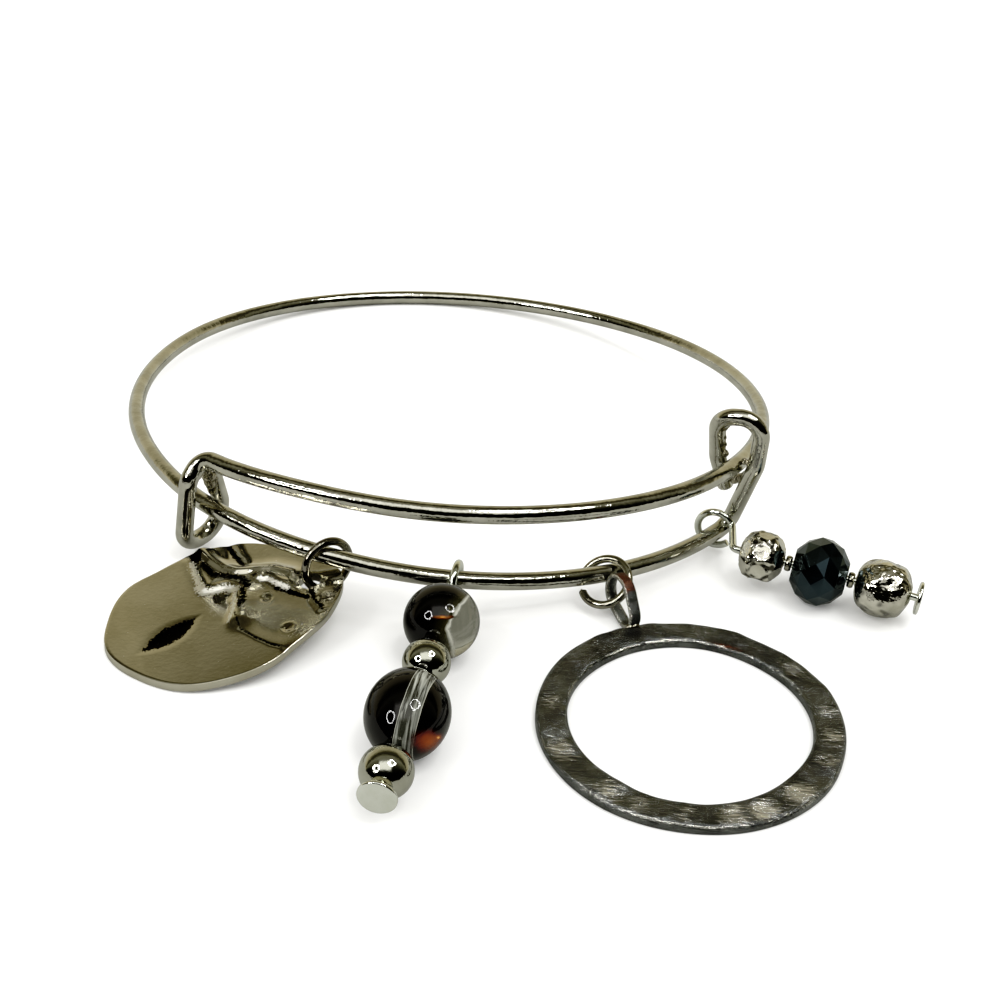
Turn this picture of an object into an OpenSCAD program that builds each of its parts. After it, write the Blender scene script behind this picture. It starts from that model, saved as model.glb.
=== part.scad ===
// Expandable wire bangle with two lying bead drops, a wavy disc and a hammered hoop.
// Millimetres. The bangle lies on the plane z = 0 with its centre over the origin,
// and its two overlapping rails face -Y.

/* [Bangle wire] */
// Diameter of the bangle's wire
wire_d = 1.6; // [1.4:0.05:1.8]
// Radius at which the wire runs round the wrist
bangle_r = 32.5; // [30:0.5:36]
// Height of the upper rail above the lowest stretch of the wire
rail_rise = 11; // [10:0.25:12]
// Widest step of a rail out of the round
rail_bow = 1.6; // [1:0.1:2]
// Free space between the wire and the legs of the wrap round it
wrap_play = 0.5; // [0.4:0.05:0.7]
// Inside radius of the bends in the wraps
wrap_bend = 0.6; // [0.4:0.1:0.8]
// Depth of the left wrap below the rail that it holds
left_wrap_drop = 4.2; // [3.9:0.1:4.4]
// Height of the right wrap above the rail that it holds
right_wrap_lift = 6; // [4.5:0.25:7]

/* [Jump rings] */
// Diameter of the wire of both jump rings
ring_wire_d = 0.75; // [0.6:0.05:0.9]
// Inside diameter of both jump rings
ring_inner_d = 3.75; // [3.5:0.05:4.2]
// Opening between the ends of a jump ring
ring_gap = 0.25; // [0.1:0.05:1.5]
// Opening between the ends of the hoop's jump ring, which is bent open
open_ring_gap = 1.1; // [0.5:0.1:1.6]

/* [Wavy disc] */
// Radius of the disc at its widest corner
disc_r = 10; // [9:0.25:11]
// Thickness of the disc's sheet
disc_t = 0.8; // [0.6:0.05:1]
// Diameter of the hole near the disc's corner
disc_hole_d = 1.9; // [1.7:0.1:2.1]
// Distance of the hole from the middle of the disc
disc_hole_out = 7.4; // [6.8:0.1:7.6]
// Height of the folds in the disc
disc_fold = 0.7; // [0.2:0.1:1]

/* [Hammered hoop] */
// Outer radius of the hoop
hoop_r = 12.75; // [11:0.25:14]
// Width of the hoop's flat band
hoop_band = 2.75; // [2.25:0.25:3.5]
// Thickness of the hoop
hoop_t = 1; // [0.8:0.1:1.4]
// Step by which the hoop is longer one way and narrower the other
hoop_oval = 0.45; // [0:0.05:0.6]
// Length of the strap bail over its ends
bail_l = 5.2; // [5:0.1:5.6]
// Width of the bail's opening where the jump ring passes through it
bail_gap = 3.2; // [3.1:0.1:3.4]
// Thickness of the bail's strap
bail_t = 0.4; // [0.35:0.05:0.45]
// Width of the bail's strap
bail_w = 1.05; // [0.9:0.05:1.1]

/* [Bead drops] */
// Diameter of the pin of both drops
pin_d = 0.7; // [0.6:0.05:0.8]
// Inside diameter of the loop that each pin makes round the rail
pin_loop_d = 2.9; // [2.7:0.1:3.1]
// Diameter of the flat head on each pin
pin_head_d = 3.1; // [2.4:0.1:3.6]
// Thickness of the flat head on each pin
pin_head_t = 0.35; // [0.25:0.05:0.6]
// Free space between a pin and the bore of a bead
bore_play = 0.12; // [0.1:0.01:0.2]
// Space between neighbours on a pin
bead_gap = 0.12; // [0.1:0.01:0.2]
// Diameter of the round glass bead
round_bead_d = 6.5; // [5.5:0.1:7]
// Diameter of the upper ball bead
upper_ball_d = 4; // [3.4:0.1:4.6]
// Diameter of the oval glass bead
oval_bead_d = 6.8; // [6:0.1:7.4]
// Length of the oval glass bead
oval_bead_l = 8; // [7:0.1:9]
// Diameter of the lower ball bead
lower_ball_d = 4.2; // [3.6:0.1:4.8]
// Length of the collar at each end of a ball bead
collar_l = 0.2; // [0.1:0.05:0.4]
// Diameter of the small silver bead
small_bead_d = 4.7; // [4.2:0.1:5.2]
// Length of the small silver bead
small_bead_l = 4.2; // [3.6:0.1:4.8]
// Diameter of the black faceted bead
black_bead_d = 6.4; // [5.6:0.1:7]
// Length of the black faceted bead
black_bead_l = 5; // [4.4:0.1:5.6]
// Diameter of the large silver bead
large_bead_d = 5.3; // [4.6:0.1:6]
// Length of the large silver bead
large_bead_l = 5.1; // [4.5:0.1:5.7]
// Diameter of the seed beads
seed_d = 1.5; // [1.4:0.05:1.8]
// Length of the seed beads
seed_l = 0.6; // [0.5:0.05:0.9]
// Bare pin between the large silver bead and its head
pin_tail = 0.5; // [0.3:0.1:1.2]

/* [Hidden] */
$fn = 48;

// Where the wire runs: its angle, its bow out of the round as a share of rail_bow, and its
// height as a share of rail_rise. It starts at the upper rail's left end and runs once round
// the wrist, past the left wrap and along the lower rail to that rail's right end.
ANGLE = 0;
BOW = 1;
RISE = 2;
ROUTE = [
    [-130, 0.60, 0.89],
    [-110, 0.70, 0.98],
    [-90, 0.90, 1.00],
    [-70, 1.00, 0.98],
    [-50, 0.95, 0.91],
    [-30, 0.70, 0.80],
    [-10, 0.40, 0.65],
    [10, 0.15, 0.49],
    [30, 0.00, 0.33],
    [50, 0.00, 0.18],
    [70, 0.10, 0.07],
    [90, 0.20, 0.01],
    [110, 0.20, 0.005],
    [130, 0.15, 0.05],
    [150, 0.05, 0.12],
    [170, -0.20, 0.20],
    [190, -0.25, 0.29],
    [210, -0.05, 0.38],
    [230, 0.40, 0.43],
    [250, 0.60, 0.42],
    [270, 0.40, 0.34],
    [290, 0.00, 0.23],
    [310, 0.00, 0.14],
    [330, 0.50, 0.10],
];
route_step = ROUTE[1][ANGLE] - ROUTE[0][ANGLE];
wire_sides = 12;
wire_ring_turn = 20 / 7;
upper_rail_start = -124;
lower_rail_end = 322;
left_wrap_angle = -130;
right_wrap_angle = -34.5;
wrap_leg = wire_d + wrap_play;
wrap_turn = 0.9;
wrap_lean = 1.9;
end_clearance = 0.18;

function unit(v) = v / norm(v);
function out(a) = [cos(a), sin(a), 0];
function along(a) = [-sin(a), cos(a), 0];

// A smooth curve through equally spaced values, where t runs from 0 at b to 1 at c.
function smooth(a, b, c, d, t) =
    b + t * (c - a + t * (2 * a - 5 * b + 4 * c - d + t * (3 * (b - c) + d - a))) / 2;
function route_value(i, column) =
    i < 0 ? 2 * ROUTE[0][column] - ROUTE[1][column]
    : i >= len(ROUTE) ? 2 * ROUTE[len(ROUTE) - 1][column] - ROUTE[len(ROUTE) - 2][column]
    : ROUTE[i][column];
function route_share(a, column) =
    let (u = (a - ROUTE[0][ANGLE]) / route_step,
        i = max(0, min(len(ROUTE) - 2, floor(u))))
    smooth(route_value(i - 1, column), route_value(i, column), route_value(i + 1, column),
        route_value(i + 2, column), u - i);
function rail(a) =
    out(a) * (bangle_r + rail_bow * route_share(a, BOW))
    + [0, 0, wire_d / 2 + rail_rise * route_share(a, RISE)];
function rail_run(a) = unit(rail(a + 0.5) - rail(a - 0.5));

// A corner at p between a and b, rounded to radius r in a few steps.
function bend(a, p, b, r, steps = 6) =
    let (u = unit(a - p), v = unit(b - p), half = acos(u * v) / 2,
        centre = p + unit(u + v) * r / sin(half),
        first = p + u * r / tan(half) - centre, last = p + v * r / tan(half) - centre,
        sweep = 180 - 2 * half)
    [for (i = [0:steps]) let (t = i / steps)
        centre + (first * sin(sweep * (1 - t)) + last * sin(sweep * t)) / sin(sweep)];

// The route's corners are [point, radius]. The first and the last are ends.
function bent(corners) = [
    corners[0][0],
    for (i = [1:len(corners) - 2])
        each bend(corners[i - 1][0], corners[i][0], corners[i + 1][0], corners[i][1]),
    corners[len(corners) - 1][0]];

// A round wire along a list of points, with a ring of corners at each that doesn't twist.
function heading(path, i) =
    i == 0 ? unit(path[1] - path[0])
    : i == len(path) - 1 ? unit(path[i] - path[i - 1])
    : unit(unit(path[i + 1] - path[i]) + unit(path[i] - path[i - 1]));
function square_to(v, t) = unit(v - (v * t) * t);
function frames(path) = [
    for (i = 0, v = square_to([0.31, 0.17, 0.93], heading(path, 0));
        i < len(path);
        i = i + 1, v = i < len(path) ? square_to(v, heading(path, i)) : v) v];

module wire(path, radii, sides) {
    side_v = frames(path);
    points = [
        for (i = [0:len(path) - 1])
            let (t = heading(path, i), v = side_v[i], w = cross(t, v))
            for (k = [0:sides - 1])
                path[i] + radii[i] * (v * cos(360 * k / sides) + w * sin(360 * k / sides))];
    last = (len(path) - 1) * sides;
    faces = [
        [for (k = [0:sides - 1]) k],
        [for (k = [sides - 1:-1:0]) last + k],
        for (i = [0:len(path) - 2], k = [0:sides - 1])
            let (a = i * sides + k, b = i * sides + (k + 1) % sides)
            each [[a, a + sides, b], [b, a + sides, b + sides]]];
    polyhedron(points, faces, convexity = 10);
}

module plain_wire(path, d, sides) {
    wire(path, [for (p = path) d / 2 / cos(90 / sides)], sides);
}

// A point near the wrap at angle a: out from the rail that it holds, along it, and up, in
// wire diameters.
function wrap_point(a, p) =
    rail(a) + wire_d * (out(a) * p[0] + along(a) * p[1] + [0, 0, p[2]]);

module bangle_wire() {
    held_low = left_wrap_angle + 360;
    leg = wrap_leg / wire_d;
    up = (rail(left_wrap_angle)[2] - rail(held_low)[2]) / wire_d - 1;
    drop = left_wrap_drop / wire_d;
    turn_r = wrap_turn * wrap_leg;
    corner_r = wrap_bend + wire_d / 2;
    lean_r = wrap_lean * wire_d;
    left = [
        [wrap_point(held_low, [-leg / 2, -0.06, up]), 0],
        [wrap_point(held_low, [-leg, 0, -0.5]), lean_r],
        [wrap_point(held_low, [-leg, -0.5, -drop]), turn_r],
        [wrap_point(held_low, [leg, -0.25, -drop]), turn_r],
        [wrap_point(held_low, [leg, 0.44, up]), corner_r],
        [rail(left_wrap_angle + 0.8), corner_r],
        [rail(upper_rail_start), 0]];
    foot = rail(lower_rail_end);
    held_high = rail(right_wrap_angle);
    down = (foot[2] - held_high[2]) / wire_d;
    lift = right_wrap_lift / wire_d;
    right = [
        [foot, 0],
        [wrap_point(right_wrap_angle, [-0.19, 1.06, down]), corner_r],
        [wrap_point(right_wrap_angle, [leg, -0.19, 0.5]), lean_r],
        [wrap_point(right_wrap_angle, [leg, -0.44, lift]), turn_r],
        [wrap_point(right_wrap_angle, [-leg, -1, lift - 0.56]), turn_r],
        [wrap_point(right_wrap_angle, [-leg, 0.12, 0]), lean_r],
        [wrap_point(right_wrap_angle, [-0.62, 0.69, -2.12]), 0]];
    left_bends = bent(left);
    right_bends = bent(right);
    color("#b9b4a0")
        plain_wire([
            for (i = [0:len(left_bends) - 2]) left_bends[i],
            for (a = [upper_rail_start:wire_ring_turn:lower_rail_end - 1]) rail(a),
            each right_bends], wire_d, wire_sides);
}

// Where a jump ring hangs on the rail. Its axis is turned from the rail's direction and
// leaned, and the rail lies inside it at the clock angle seat from its level line.
RAIL_AT = 0;
TURN = 1;
LEAN = 2;
SEAT = 3;
disc_ring = [254, -36, 7, 81];
hoop_ring = [298, 18.2, -49.2, 26.4];
disc_ring_end_clock = 265;
hoop_ring_end_clock = 330;
ring_r = (ring_inner_d + ring_wire_d) / 2;

function ring_azimuth(ring) =
    let (t = rail_run(ring[RAIL_AT])) atan2(t[1], t[0]) + ring[TURN];
function ring_axis(ring) =
    let (a = ring_azimuth(ring), e = ring[LEAN]) [cos(a) * cos(e), sin(a) * cos(e), sin(e)];
function ring_level(ring) = unit(cross([0, 0, 1], ring_axis(ring)));
function ring_up(ring) = cross(ring_axis(ring), ring_level(ring));
function ring_dir(ring, clock) = ring_level(ring) * cos(clock) + ring_up(ring) * sin(clock);
function ring_centre(ring) =
    rail(ring[RAIL_AT])
    - ring_dir(ring, ring[SEAT]) * (ring_inner_d / 2 - wire_d / 2 - end_clearance);
function ring_point(ring, clock) = ring_centre(ring) + ring_dir(ring, clock) * ring_r;

module jump_ring(ring, gap, gap_clock) {
    x = ring_dir(ring, gap_clock);
    z = ring_axis(ring);
    y = cross(z, x);
    c = ring_centre(ring);
    open_angle = 2 * asin((gap + ring_wire_d) / 2 / ring_r);
    multmatrix([
        [x[0], y[0], z[0], c[0]],
        [x[1], y[1], z[1], c[1]],
        [x[2], y[2], z[2], c[2]]])
        rotate([0, 0, open_angle / 2])
            rotate_extrude(angle = 360 - open_angle)
                translate([ring_r, 0])
                    circle(d = ring_wire_d);
}

module disc_jump_ring() {
    color("#55524a")
        jump_ring(disc_ring, ring_gap, disc_ring_end_clock);
}

module hoop_jump_ring() {
    color("#7d7868")
        jump_ring(hoop_ring, open_ring_gap, hoop_ring_end_clock);
}

// The disc's rim: its angle from the disc's middle and its radius as a share of disc_r.
RIM_R = 1;
RIM = [
    [-150, 1.04],
    [-125, 0.97],
    [-105, 0.92],
    [-80, 0.84],
    [-55, 0.81],
    [-30, 0.81],
    [-5, 0.92],
    [20, 1.01],
    [45, 0.91],
    [70, 0.90],
    [95, 0.94],
    [120, 0.94],
    [140, 0.94],
    [158, 1.00],
    [185, 1.00],
    [210, 1.04],
];
// The folds pressed into the disc: each runs between two places, given as an angle and a
// share of disc_r, and has a width as a share of disc_r and a height as a share of disc_fold.
FOLDS = [
    [[118, 0.95], [100, 0.45], 0.14, 1.0],
    [[100, 0.45], [45, 0.28], 0.12, 1.0],
    [[45, 0.28], [-10, 0.30], 0.10, 0.8],
    [[-10, 0.30], [-28, 0.75], 0.10, 0.6],
    [[88, 0.90], [60, 0.45], 0.10, -0.5],
    [[-150, 0.62], [-172, 0.20], 0.12, -0.4],
];
disc_hole_turn = 23;
disc_hole_clock = 216;
disc_grid_r = 10;
disc_grid_turn = 60;
disc_flat_share = 0.8;
disc_lift_power = 1.6;

function rim_share(a, i = 0) =
    a <= RIM[i + 1][ANGLE]
        ? let (t = (a - RIM[i][ANGLE]) / (RIM[i + 1][ANGLE] - RIM[i][ANGLE]),
            n = len(RIM) - 1, before = RIM[(i + n - 1) % n][RIM_R],
            after = RIM[(i + 2) % n == 0 ? 0 : (i + 1 == n ? 1 : i + 2)][RIM_R])
            smooth(before, RIM[i][RIM_R], RIM[i + 1][RIM_R], after, t)
        : rim_share(a, i + 1);
function polar(p) = [cos(p[0]), sin(p[0])] * p[1] * disc_r;
function off_line(p, a, b) =
    let (t = max(0, min(1, (p - a) * (b - a) / ((b - a) * (b - a))))) norm(p - a - (b - a) * t);
function fold_sum(p, i = 0) =
    i == len(FOLDS) ? 0
    : let (f = FOLDS[i], d = off_line(p, polar(f[0]), polar(f[1])) / (f[2] * disc_r))
        f[3] * exp(-d * d) + fold_sum(p, i + 1);
// The sheet lies on its left edge and lifts towards the hole, where the jump ring holds it.
hole_place = ring_point(disc_ring, disc_hole_clock);
disc_lift = hole_place[2] - disc_t / 2;
disc_middle = [hole_place[0], hole_place[1]]
    - [cos(disc_hole_turn), sin(disc_hole_turn)] * disc_hole_out;
function disc_rise(p) =
    let (u = (p * [cos(disc_hole_turn), sin(disc_hole_turn)] + disc_flat_share * disc_r)
        / (disc_hole_out + disc_flat_share * disc_r))
    disc_lift * pow(max(0, u), disc_lift_power);
function disc_height(p) =
    disc_t / 2 + disc_rise(p)
    + disc_fold * max(0, min(1, disc_rise(p) * 2)) * fold_sum(p);

module disc_sheet() {
    rows = disc_grid_r;
    turns = disc_grid_turn;
    flat = [
        [0, 0],
        for (r = [1:rows], k = [0:turns - 1])
            let (a = -150 + 360 * k / turns)
            [cos(a), sin(a)] * disc_r * rim_share(a) * r / rows];
    n = len(flat);
    points = [
        for (side = [1, -1], p = flat)
            [disc_middle[0] + p[0], disc_middle[1] + p[1], disc_height(p) + side * disc_t / 2]];
    function at(r, k) = 1 + (r - 1) * turns + k % turns;
    faces = [
        for (k = [0:turns - 1]) each [
            [0, at(1, k + 1), at(1, k)],
            [n, n + at(1, k), n + at(1, k + 1)],
            [at(rows, k), at(rows, k + 1), n + at(rows, k)],
            [at(rows, k + 1), n + at(rows, k + 1), n + at(rows, k)]],
        for (r = [1:rows - 1], k = [0:turns - 1]) each [
            [at(r, k), at(r, k + 1), at(r + 1, k)],
            [at(r, k + 1), at(r + 1, k + 1), at(r + 1, k)],
            [n + at(r, k), n + at(r + 1, k), n + at(r, k + 1)],
            [n + at(r, k + 1), n + at(r + 1, k), n + at(r + 1, k + 1)]]];
    polyhedron(points, faces, convexity = 6);
}

module wavy_disc() {
    color("#857e63")
        difference() {
            disc_sheet();
            translate(hole_place - [0, 0, 2 * disc_t])
                cylinder(d = disc_hole_d, h = 4 * disc_t);
        }
}

// The hoop's outline: its angle from the bail, and the worn and hammered steps of its outer
// and inner edge as shares of the band's width.
OUTER = 1;
INNER = 2;
EDGE = [
    [0, 0.00, 0.00],
    [30, 0.02, -0.02],
    [60, -0.03, 0.02],
    [90, 0.02, 0.03],
    [120, 0.03, -0.02],
    [150, -0.02, 0.02],
    [180, 0.02, 0.03],
    [210, 0.03, -0.03],
    [240, -0.02, 0.02],
    [270, 0.02, 0.02],
    [300, -0.03, -0.03],
    [330, 0.03, 0.02],
    [360, 0.00, 0.00],
];
edge_step = EDGE[1][ANGLE];
hoop_sides = 72;
hoop_long_turn = 105;
bail_turn = 109.4;
bail_seat = -0.65;
bail_swing = 6.8;
bail_rise = 34.5;
bail_base_r = 1.47;
bail_clock = 189.2;
bail_pass = 0.91;

function edge_share(a, column) =
    let (n = len(EDGE) - 1, i = floor(a / edge_step) % n)
    smooth(EDGE[(i + n - 1) % n][column], EDGE[i][column], EDGE[i + 1][column],
        EDGE[(i + 2) % n][column], a / edge_step - floor(a / edge_step));
function hoop_edge(r, column) = [
    for (k = [0:hoop_sides - 1])
        let (a = 360 * k / hoop_sides)
        [cos(a), sin(a)] * (r + hoop_oval * cos(2 * (a - hoop_long_turn))
            + hoop_band * edge_share(a, column))];
// The bail is soldered on the band's rim, and the jump ring passes through its wide far end.
bail_far_r = bail_gap / 2 + bail_t;
bail_reach = bail_l - bail_base_r - bail_far_r;
bail_place = ring_point(hoop_ring, bail_clock);
bail_flat_dir = out(bail_turn + bail_swing);
bail_dir = bail_flat_dir * cos(bail_rise) + [0, 0, 1] * sin(bail_rise);
bail_up = [0, 0, 1] * cos(bail_rise) - bail_flat_dir * sin(bail_rise);
bail_across = cross(bail_dir, bail_up);
bail_base = bail_place - bail_dir * bail_reach * bail_pass;
hoop_middle = [bail_base[0], bail_base[1], 0] - out(bail_turn) * (hoop_r - bail_seat);

// Two circles and the straight flanks that touch both.
module egg(reach, near_r, far_r) {
    lean = acos((near_r - far_r) / reach);
    side = [cos(lean), sin(lean)];
    circle(r = near_r);
    translate([reach, 0])
        circle(r = far_r);
    polygon([
        near_r * side,
        [near_r * side[0], -near_r * side[1]],
        [reach + far_r * side[0], -far_r * side[1]],
        [reach, 0] + far_r * side]);
}

module bail() {
    multmatrix([
        [bail_dir[0], bail_up[0], bail_across[0], bail_base[0]],
        [bail_dir[1], bail_up[1], bail_across[1], bail_base[1]],
        [bail_dir[2], bail_up[2], bail_across[2], bail_base[2]]])
        translate([0, 0, -bail_w / 2])
            linear_extrude(bail_w)
                difference() {
                    egg(bail_reach, bail_base_r, bail_far_r);
                    egg(bail_reach, bail_base_r - bail_t, bail_far_r - bail_t);
                }
}

module hammered_hoop() {
    color("#5f5d58") {
        translate(hoop_middle)
            rotate([0, 0, bail_turn])
                linear_extrude(hoop_t)
                    difference() {
                        polygon(hoop_edge(hoop_r, OUTER));
                        polygon(hoop_edge(hoop_r - hoop_band, INNER));
                    }
        bail();
    }
}

// A drop's pin makes a loop round the rail, and its beads are threaded along the rest.
bore_d = pin_d + 2 * bore_play;
pin_loop_r = (pin_loop_d + pin_d) / 2;
pin_sides = 12;
loop_play = pin_loop_d / 2 - wire_d / 2 - end_clearance;
ball_neck = 0.5;
head_flare = 0.05;
neck_bend = 0.8 * pin_d;
glass_loop_ends = [70, 328];
faceted_loop_ends = [80, 325];
loop_lead = 20;
round_bead_flats = 0.2;
oval_steps = 20;

function loop_point(centre, x, y, a) = centre + pin_loop_r * (x * cos(a) + y * sin(a));
function loop_path(centre, x, y, ends, step = 20) = [
    for (a = [ends[0]:step:ends[1]]) loop_point(centre, x, y, a)];
function headed(path, run) =
    let (end = path[0])
    concat([end, end - run * pin_head_t, end - run * (pin_head_t + head_flare)],
        [for (i = [1:len(path) - 1]) path[i]]);

module pin(path, run) {
    whole = headed(path, run);
    flat = 1 / cos(90 / pin_sides) / 2;
    wire(whole, [for (i = [0:len(whole) - 1]) (i < 2 ? pin_head_d : pin_d) * flat], pin_sides);
}

// Puts a bead on its drop, with the bead's own axis along the pin.
module threaded(start, run, distance) {
    translate(start + run * distance)
        rotate([0, 90 - asin(run[2]), atan2(run[1], run[0])])
            children();
}

module bore(length) {
    cylinder(d = bore_d, h = length + 1, center = true, $fn = 32);
}

module ball_bead(d) {
    difference() {
        union() {
            sphere(d = d);
            cylinder(d = bore_d + ball_neck, h = d + 2 * collar_l, center = true);
        }
        bore(d + 2 * collar_l);
    }
}

// The glass drop leans on its oval bead, which rests on the ground.
glass_drop_at = 273.5;
glass_drop_turn = -14.2;
glass_loop = rail(glass_drop_at) - [0, 0, loop_play];
round_l = round_bead_d - round_bead_flats;
glass_s_round = pin_loop_r + pin_d / 2 + bead_gap + round_l / 2;
glass_s_ball = glass_s_round + round_l / 2 + bead_gap + upper_ball_d / 2 + collar_l;
glass_s_oval = glass_s_ball + upper_ball_d / 2 + collar_l + bead_gap + oval_bead_l / 2;
glass_s_low = glass_s_oval + oval_bead_l / 2 + bead_gap + lower_ball_d / 2 + collar_l;
glass_s_head = glass_s_low + lower_ball_d / 2 + collar_l + bead_gap;
glass_dip = asin((glass_loop[2] - oval_bead_d / 2) / glass_s_oval);
glass_run = out(glass_drop_at + glass_drop_turn) * cos(glass_dip) - [0, 0, sin(glass_dip)];
glass_side = [0, 0, 1] * cos(glass_dip) + out(glass_drop_at + glass_drop_turn) * sin(glass_dip);

module glass_drop_pin() {
    neck = bent([
        [glass_loop + glass_run * (glass_s_head + head_flare + pin_head_t), 0],
        [glass_loop + glass_run * pin_loop_r, neck_bend],
        [loop_point(glass_loop, glass_run, glass_side, glass_loop_ends[0] - loop_lead), 0]]);
    color("#cfcdc4")
        pin([each neck, each loop_path(glass_loop, glass_run, glass_side, glass_loop_ends)], glass_run);
}

module round_glass_bead() {
    color("#2a211b")
        threaded(glass_loop, glass_run, glass_s_round)
            difference() {
                intersection() {
                    sphere(d = round_bead_d);
                    cube([round_bead_d, round_bead_d, round_l], center = true);
                }
                bore(round_bead_d);
            }
}

module upper_ball_bead() {
    color("#c9c8c0")
        threaded(glass_loop, glass_run, glass_s_ball)
            ball_bead(upper_ball_d);
}

// The oval's outline is an arc, in short straight steps, from one flat end to the other.
module oval_glass_bead() {
    half = oval_bead_l / 2;
    waist = oval_bead_d / 2;
    end = bore_d;
    dome_r = (pow(half, 2) + pow(waist - end, 2)) / (2 * (waist - end));
    lean = asin(half / dome_r);
    color("#1c1512")
        threaded(glass_loop, glass_run, glass_s_oval)
            difference() {
                rotate_extrude()
                    polygon([
                        [0, -half],
                        for (i = [0:oval_steps])
                            let (a = lean * (2 * i / oval_steps - 1))
                            [waist - dome_r + dome_r * cos(a), dome_r * sin(a)],
                        [0, half]]);
                bore(oval_bead_l);
            }
}

module lower_ball_bead() {
    color("#c9c8c0")
        threaded(glass_loop, glass_run, glass_s_low)
            ball_bead(lower_ball_d);
}

// The faceted drop's pin runs forward from its loop and turns into the beads.
faceted_drop_at = 325;
faceted_turn = 16.5;
faceted_dip = 1;
faceted_strand = [3.4, -3.25];
loop_turn = 10;
faceted_loop = rail(faceted_drop_at) + [0, 0, loop_play];
small_s = neck_bend + bead_gap + small_bead_l / 2;
seed_in_s = small_s + small_bead_l / 2 + bead_gap + seed_l / 2;
black_s = seed_in_s + seed_l / 2 + bead_gap + black_bead_l / 2;
seed_out_s = black_s + black_bead_l / 2 + bead_gap + seed_l / 2;
large_s = seed_out_s + seed_l / 2 + bead_gap + large_bead_l / 2;
faceted_head_s = large_s + large_bead_l / 2 + pin_tail;
faceted_dir = out(faceted_drop_at + faceted_turn);
faceted_run = faceted_dir * cos(faceted_dip) - [0, 0, sin(faceted_dip)];
faceted_corner = [faceted_loop[0], faceted_loop[1], black_bead_d / 2 + black_s * sin(faceted_dip)]
    + out(faceted_drop_at) * faceted_strand[0] + along(faceted_drop_at) * faceted_strand[1];

module faceted_drop_pin() {
    level = out(faceted_drop_at + loop_turn);
    up = [0, 0, 1];
    neck = bent([
        [faceted_corner + faceted_run * (faceted_head_s + head_flare + pin_head_t), 0],
        [faceted_corner, neck_bend],
        [loop_point(faceted_loop, level, up, faceted_loop_ends[0] - 2.5 * loop_lead), neck_bend],
        [loop_point(faceted_loop, level, up, faceted_loop_ends[0] - loop_lead), 0]]);
    color("#cfcdc4")
        pin([each neck, each loop_path(faceted_loop, level, up, faceted_loop_ends)], faceted_run);
}

// A cut bead: rings of corners along the bead's axis, each ring half a facet on from the last.
// The rows are the height as a share of the length and the radius as a share of the diameter.
module cut_bead(d, l, facets, rows) {
    points = [
        for (i = [0:len(rows) - 1], k = [0:facets - 1])
            let (a = 360 * (k + (i % 2) / 2) / facets)
            [rows[i][1] * d * cos(a), rows[i][1] * d * sin(a), rows[i][0] * l]];
    last = (len(rows) - 1) * facets;
    faces = [
        [for (k = [0:facets - 1]) k],
        [for (k = [facets - 1:-1:0]) last + k],
        for (i = [0:len(rows) - 2], k = [0:facets - 1])
            let (a = i * facets + k, b = i * facets + (k + 1) % facets,
                skew = i % 2)
            each skew == 0
                ? [[a, a + facets, b], [b, a + facets, b + facets]]
                : [[a, b + facets, b], [a, a + facets, b + facets]]];
    difference() {
        polyhedron(points, faces, convexity = 4);
        bore(l);
    }
}

CUT_ROWS = [[-0.5, 0.24], [-0.33, 0.41], [-0.1, 0.5], [0.1, 0.5], [0.33, 0.41], [0.5, 0.24]];
NUGGET_ROWS = [[-0.5, 0.22], [-0.36, 0.4], [-0.12, 0.5], [0.12, 0.49], [0.34, 0.41], [0.5, 0.22]];

module small_silver_bead() {
    color("#c4c2b8")
        threaded(faceted_corner, faceted_run, small_s)
            cut_bead(small_bead_d, small_bead_l, 9, NUGGET_ROWS);
}

module seed_bead() {
    difference() {
        cylinder(d = seed_d, h = seed_l, center = true);
        bore(seed_l);
    }
}

module inner_seed_bead() {
    color("#8e8c86")
        threaded(faceted_corner, faceted_run, seed_in_s)
            seed_bead();
}

module black_faceted_bead() {
    color("#11151a")
        threaded(faceted_corner, faceted_run, black_s)
            cut_bead(black_bead_d, black_bead_l, 10, CUT_ROWS);
}

module outer_seed_bead() {
    color("#8e8c86")
        threaded(faceted_corner, faceted_run, seed_out_s)
            seed_bead();
}

module large_silver_bead() {
    color("#c4c2b8")
        threaded(faceted_corner, faceted_run, large_s)
            cut_bead(large_bead_d, large_bead_l, 8, NUGGET_ROWS);
}

bangle_wire();
disc_jump_ring();
wavy_disc();
hoop_jump_ring();
hammered_hoop();
glass_drop_pin();
round_glass_bead();
upper_ball_bead();
oval_glass_bead();
lower_ball_bead();
faceted_drop_pin();
small_silver_bead();
inner_seed_bead();
black_faceted_bead();
outer_seed_bead();
large_silver_bead();
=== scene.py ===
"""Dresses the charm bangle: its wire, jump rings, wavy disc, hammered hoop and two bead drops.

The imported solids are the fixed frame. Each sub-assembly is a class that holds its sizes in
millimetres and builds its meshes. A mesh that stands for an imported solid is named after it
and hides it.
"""

import logging
import math
from dataclasses import dataclass
from enum import Enum
from typing import Any, Callable, Optional, Sequence

import bpy
import numpy as np
from mathutils import Matrix, Vector, noise


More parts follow.
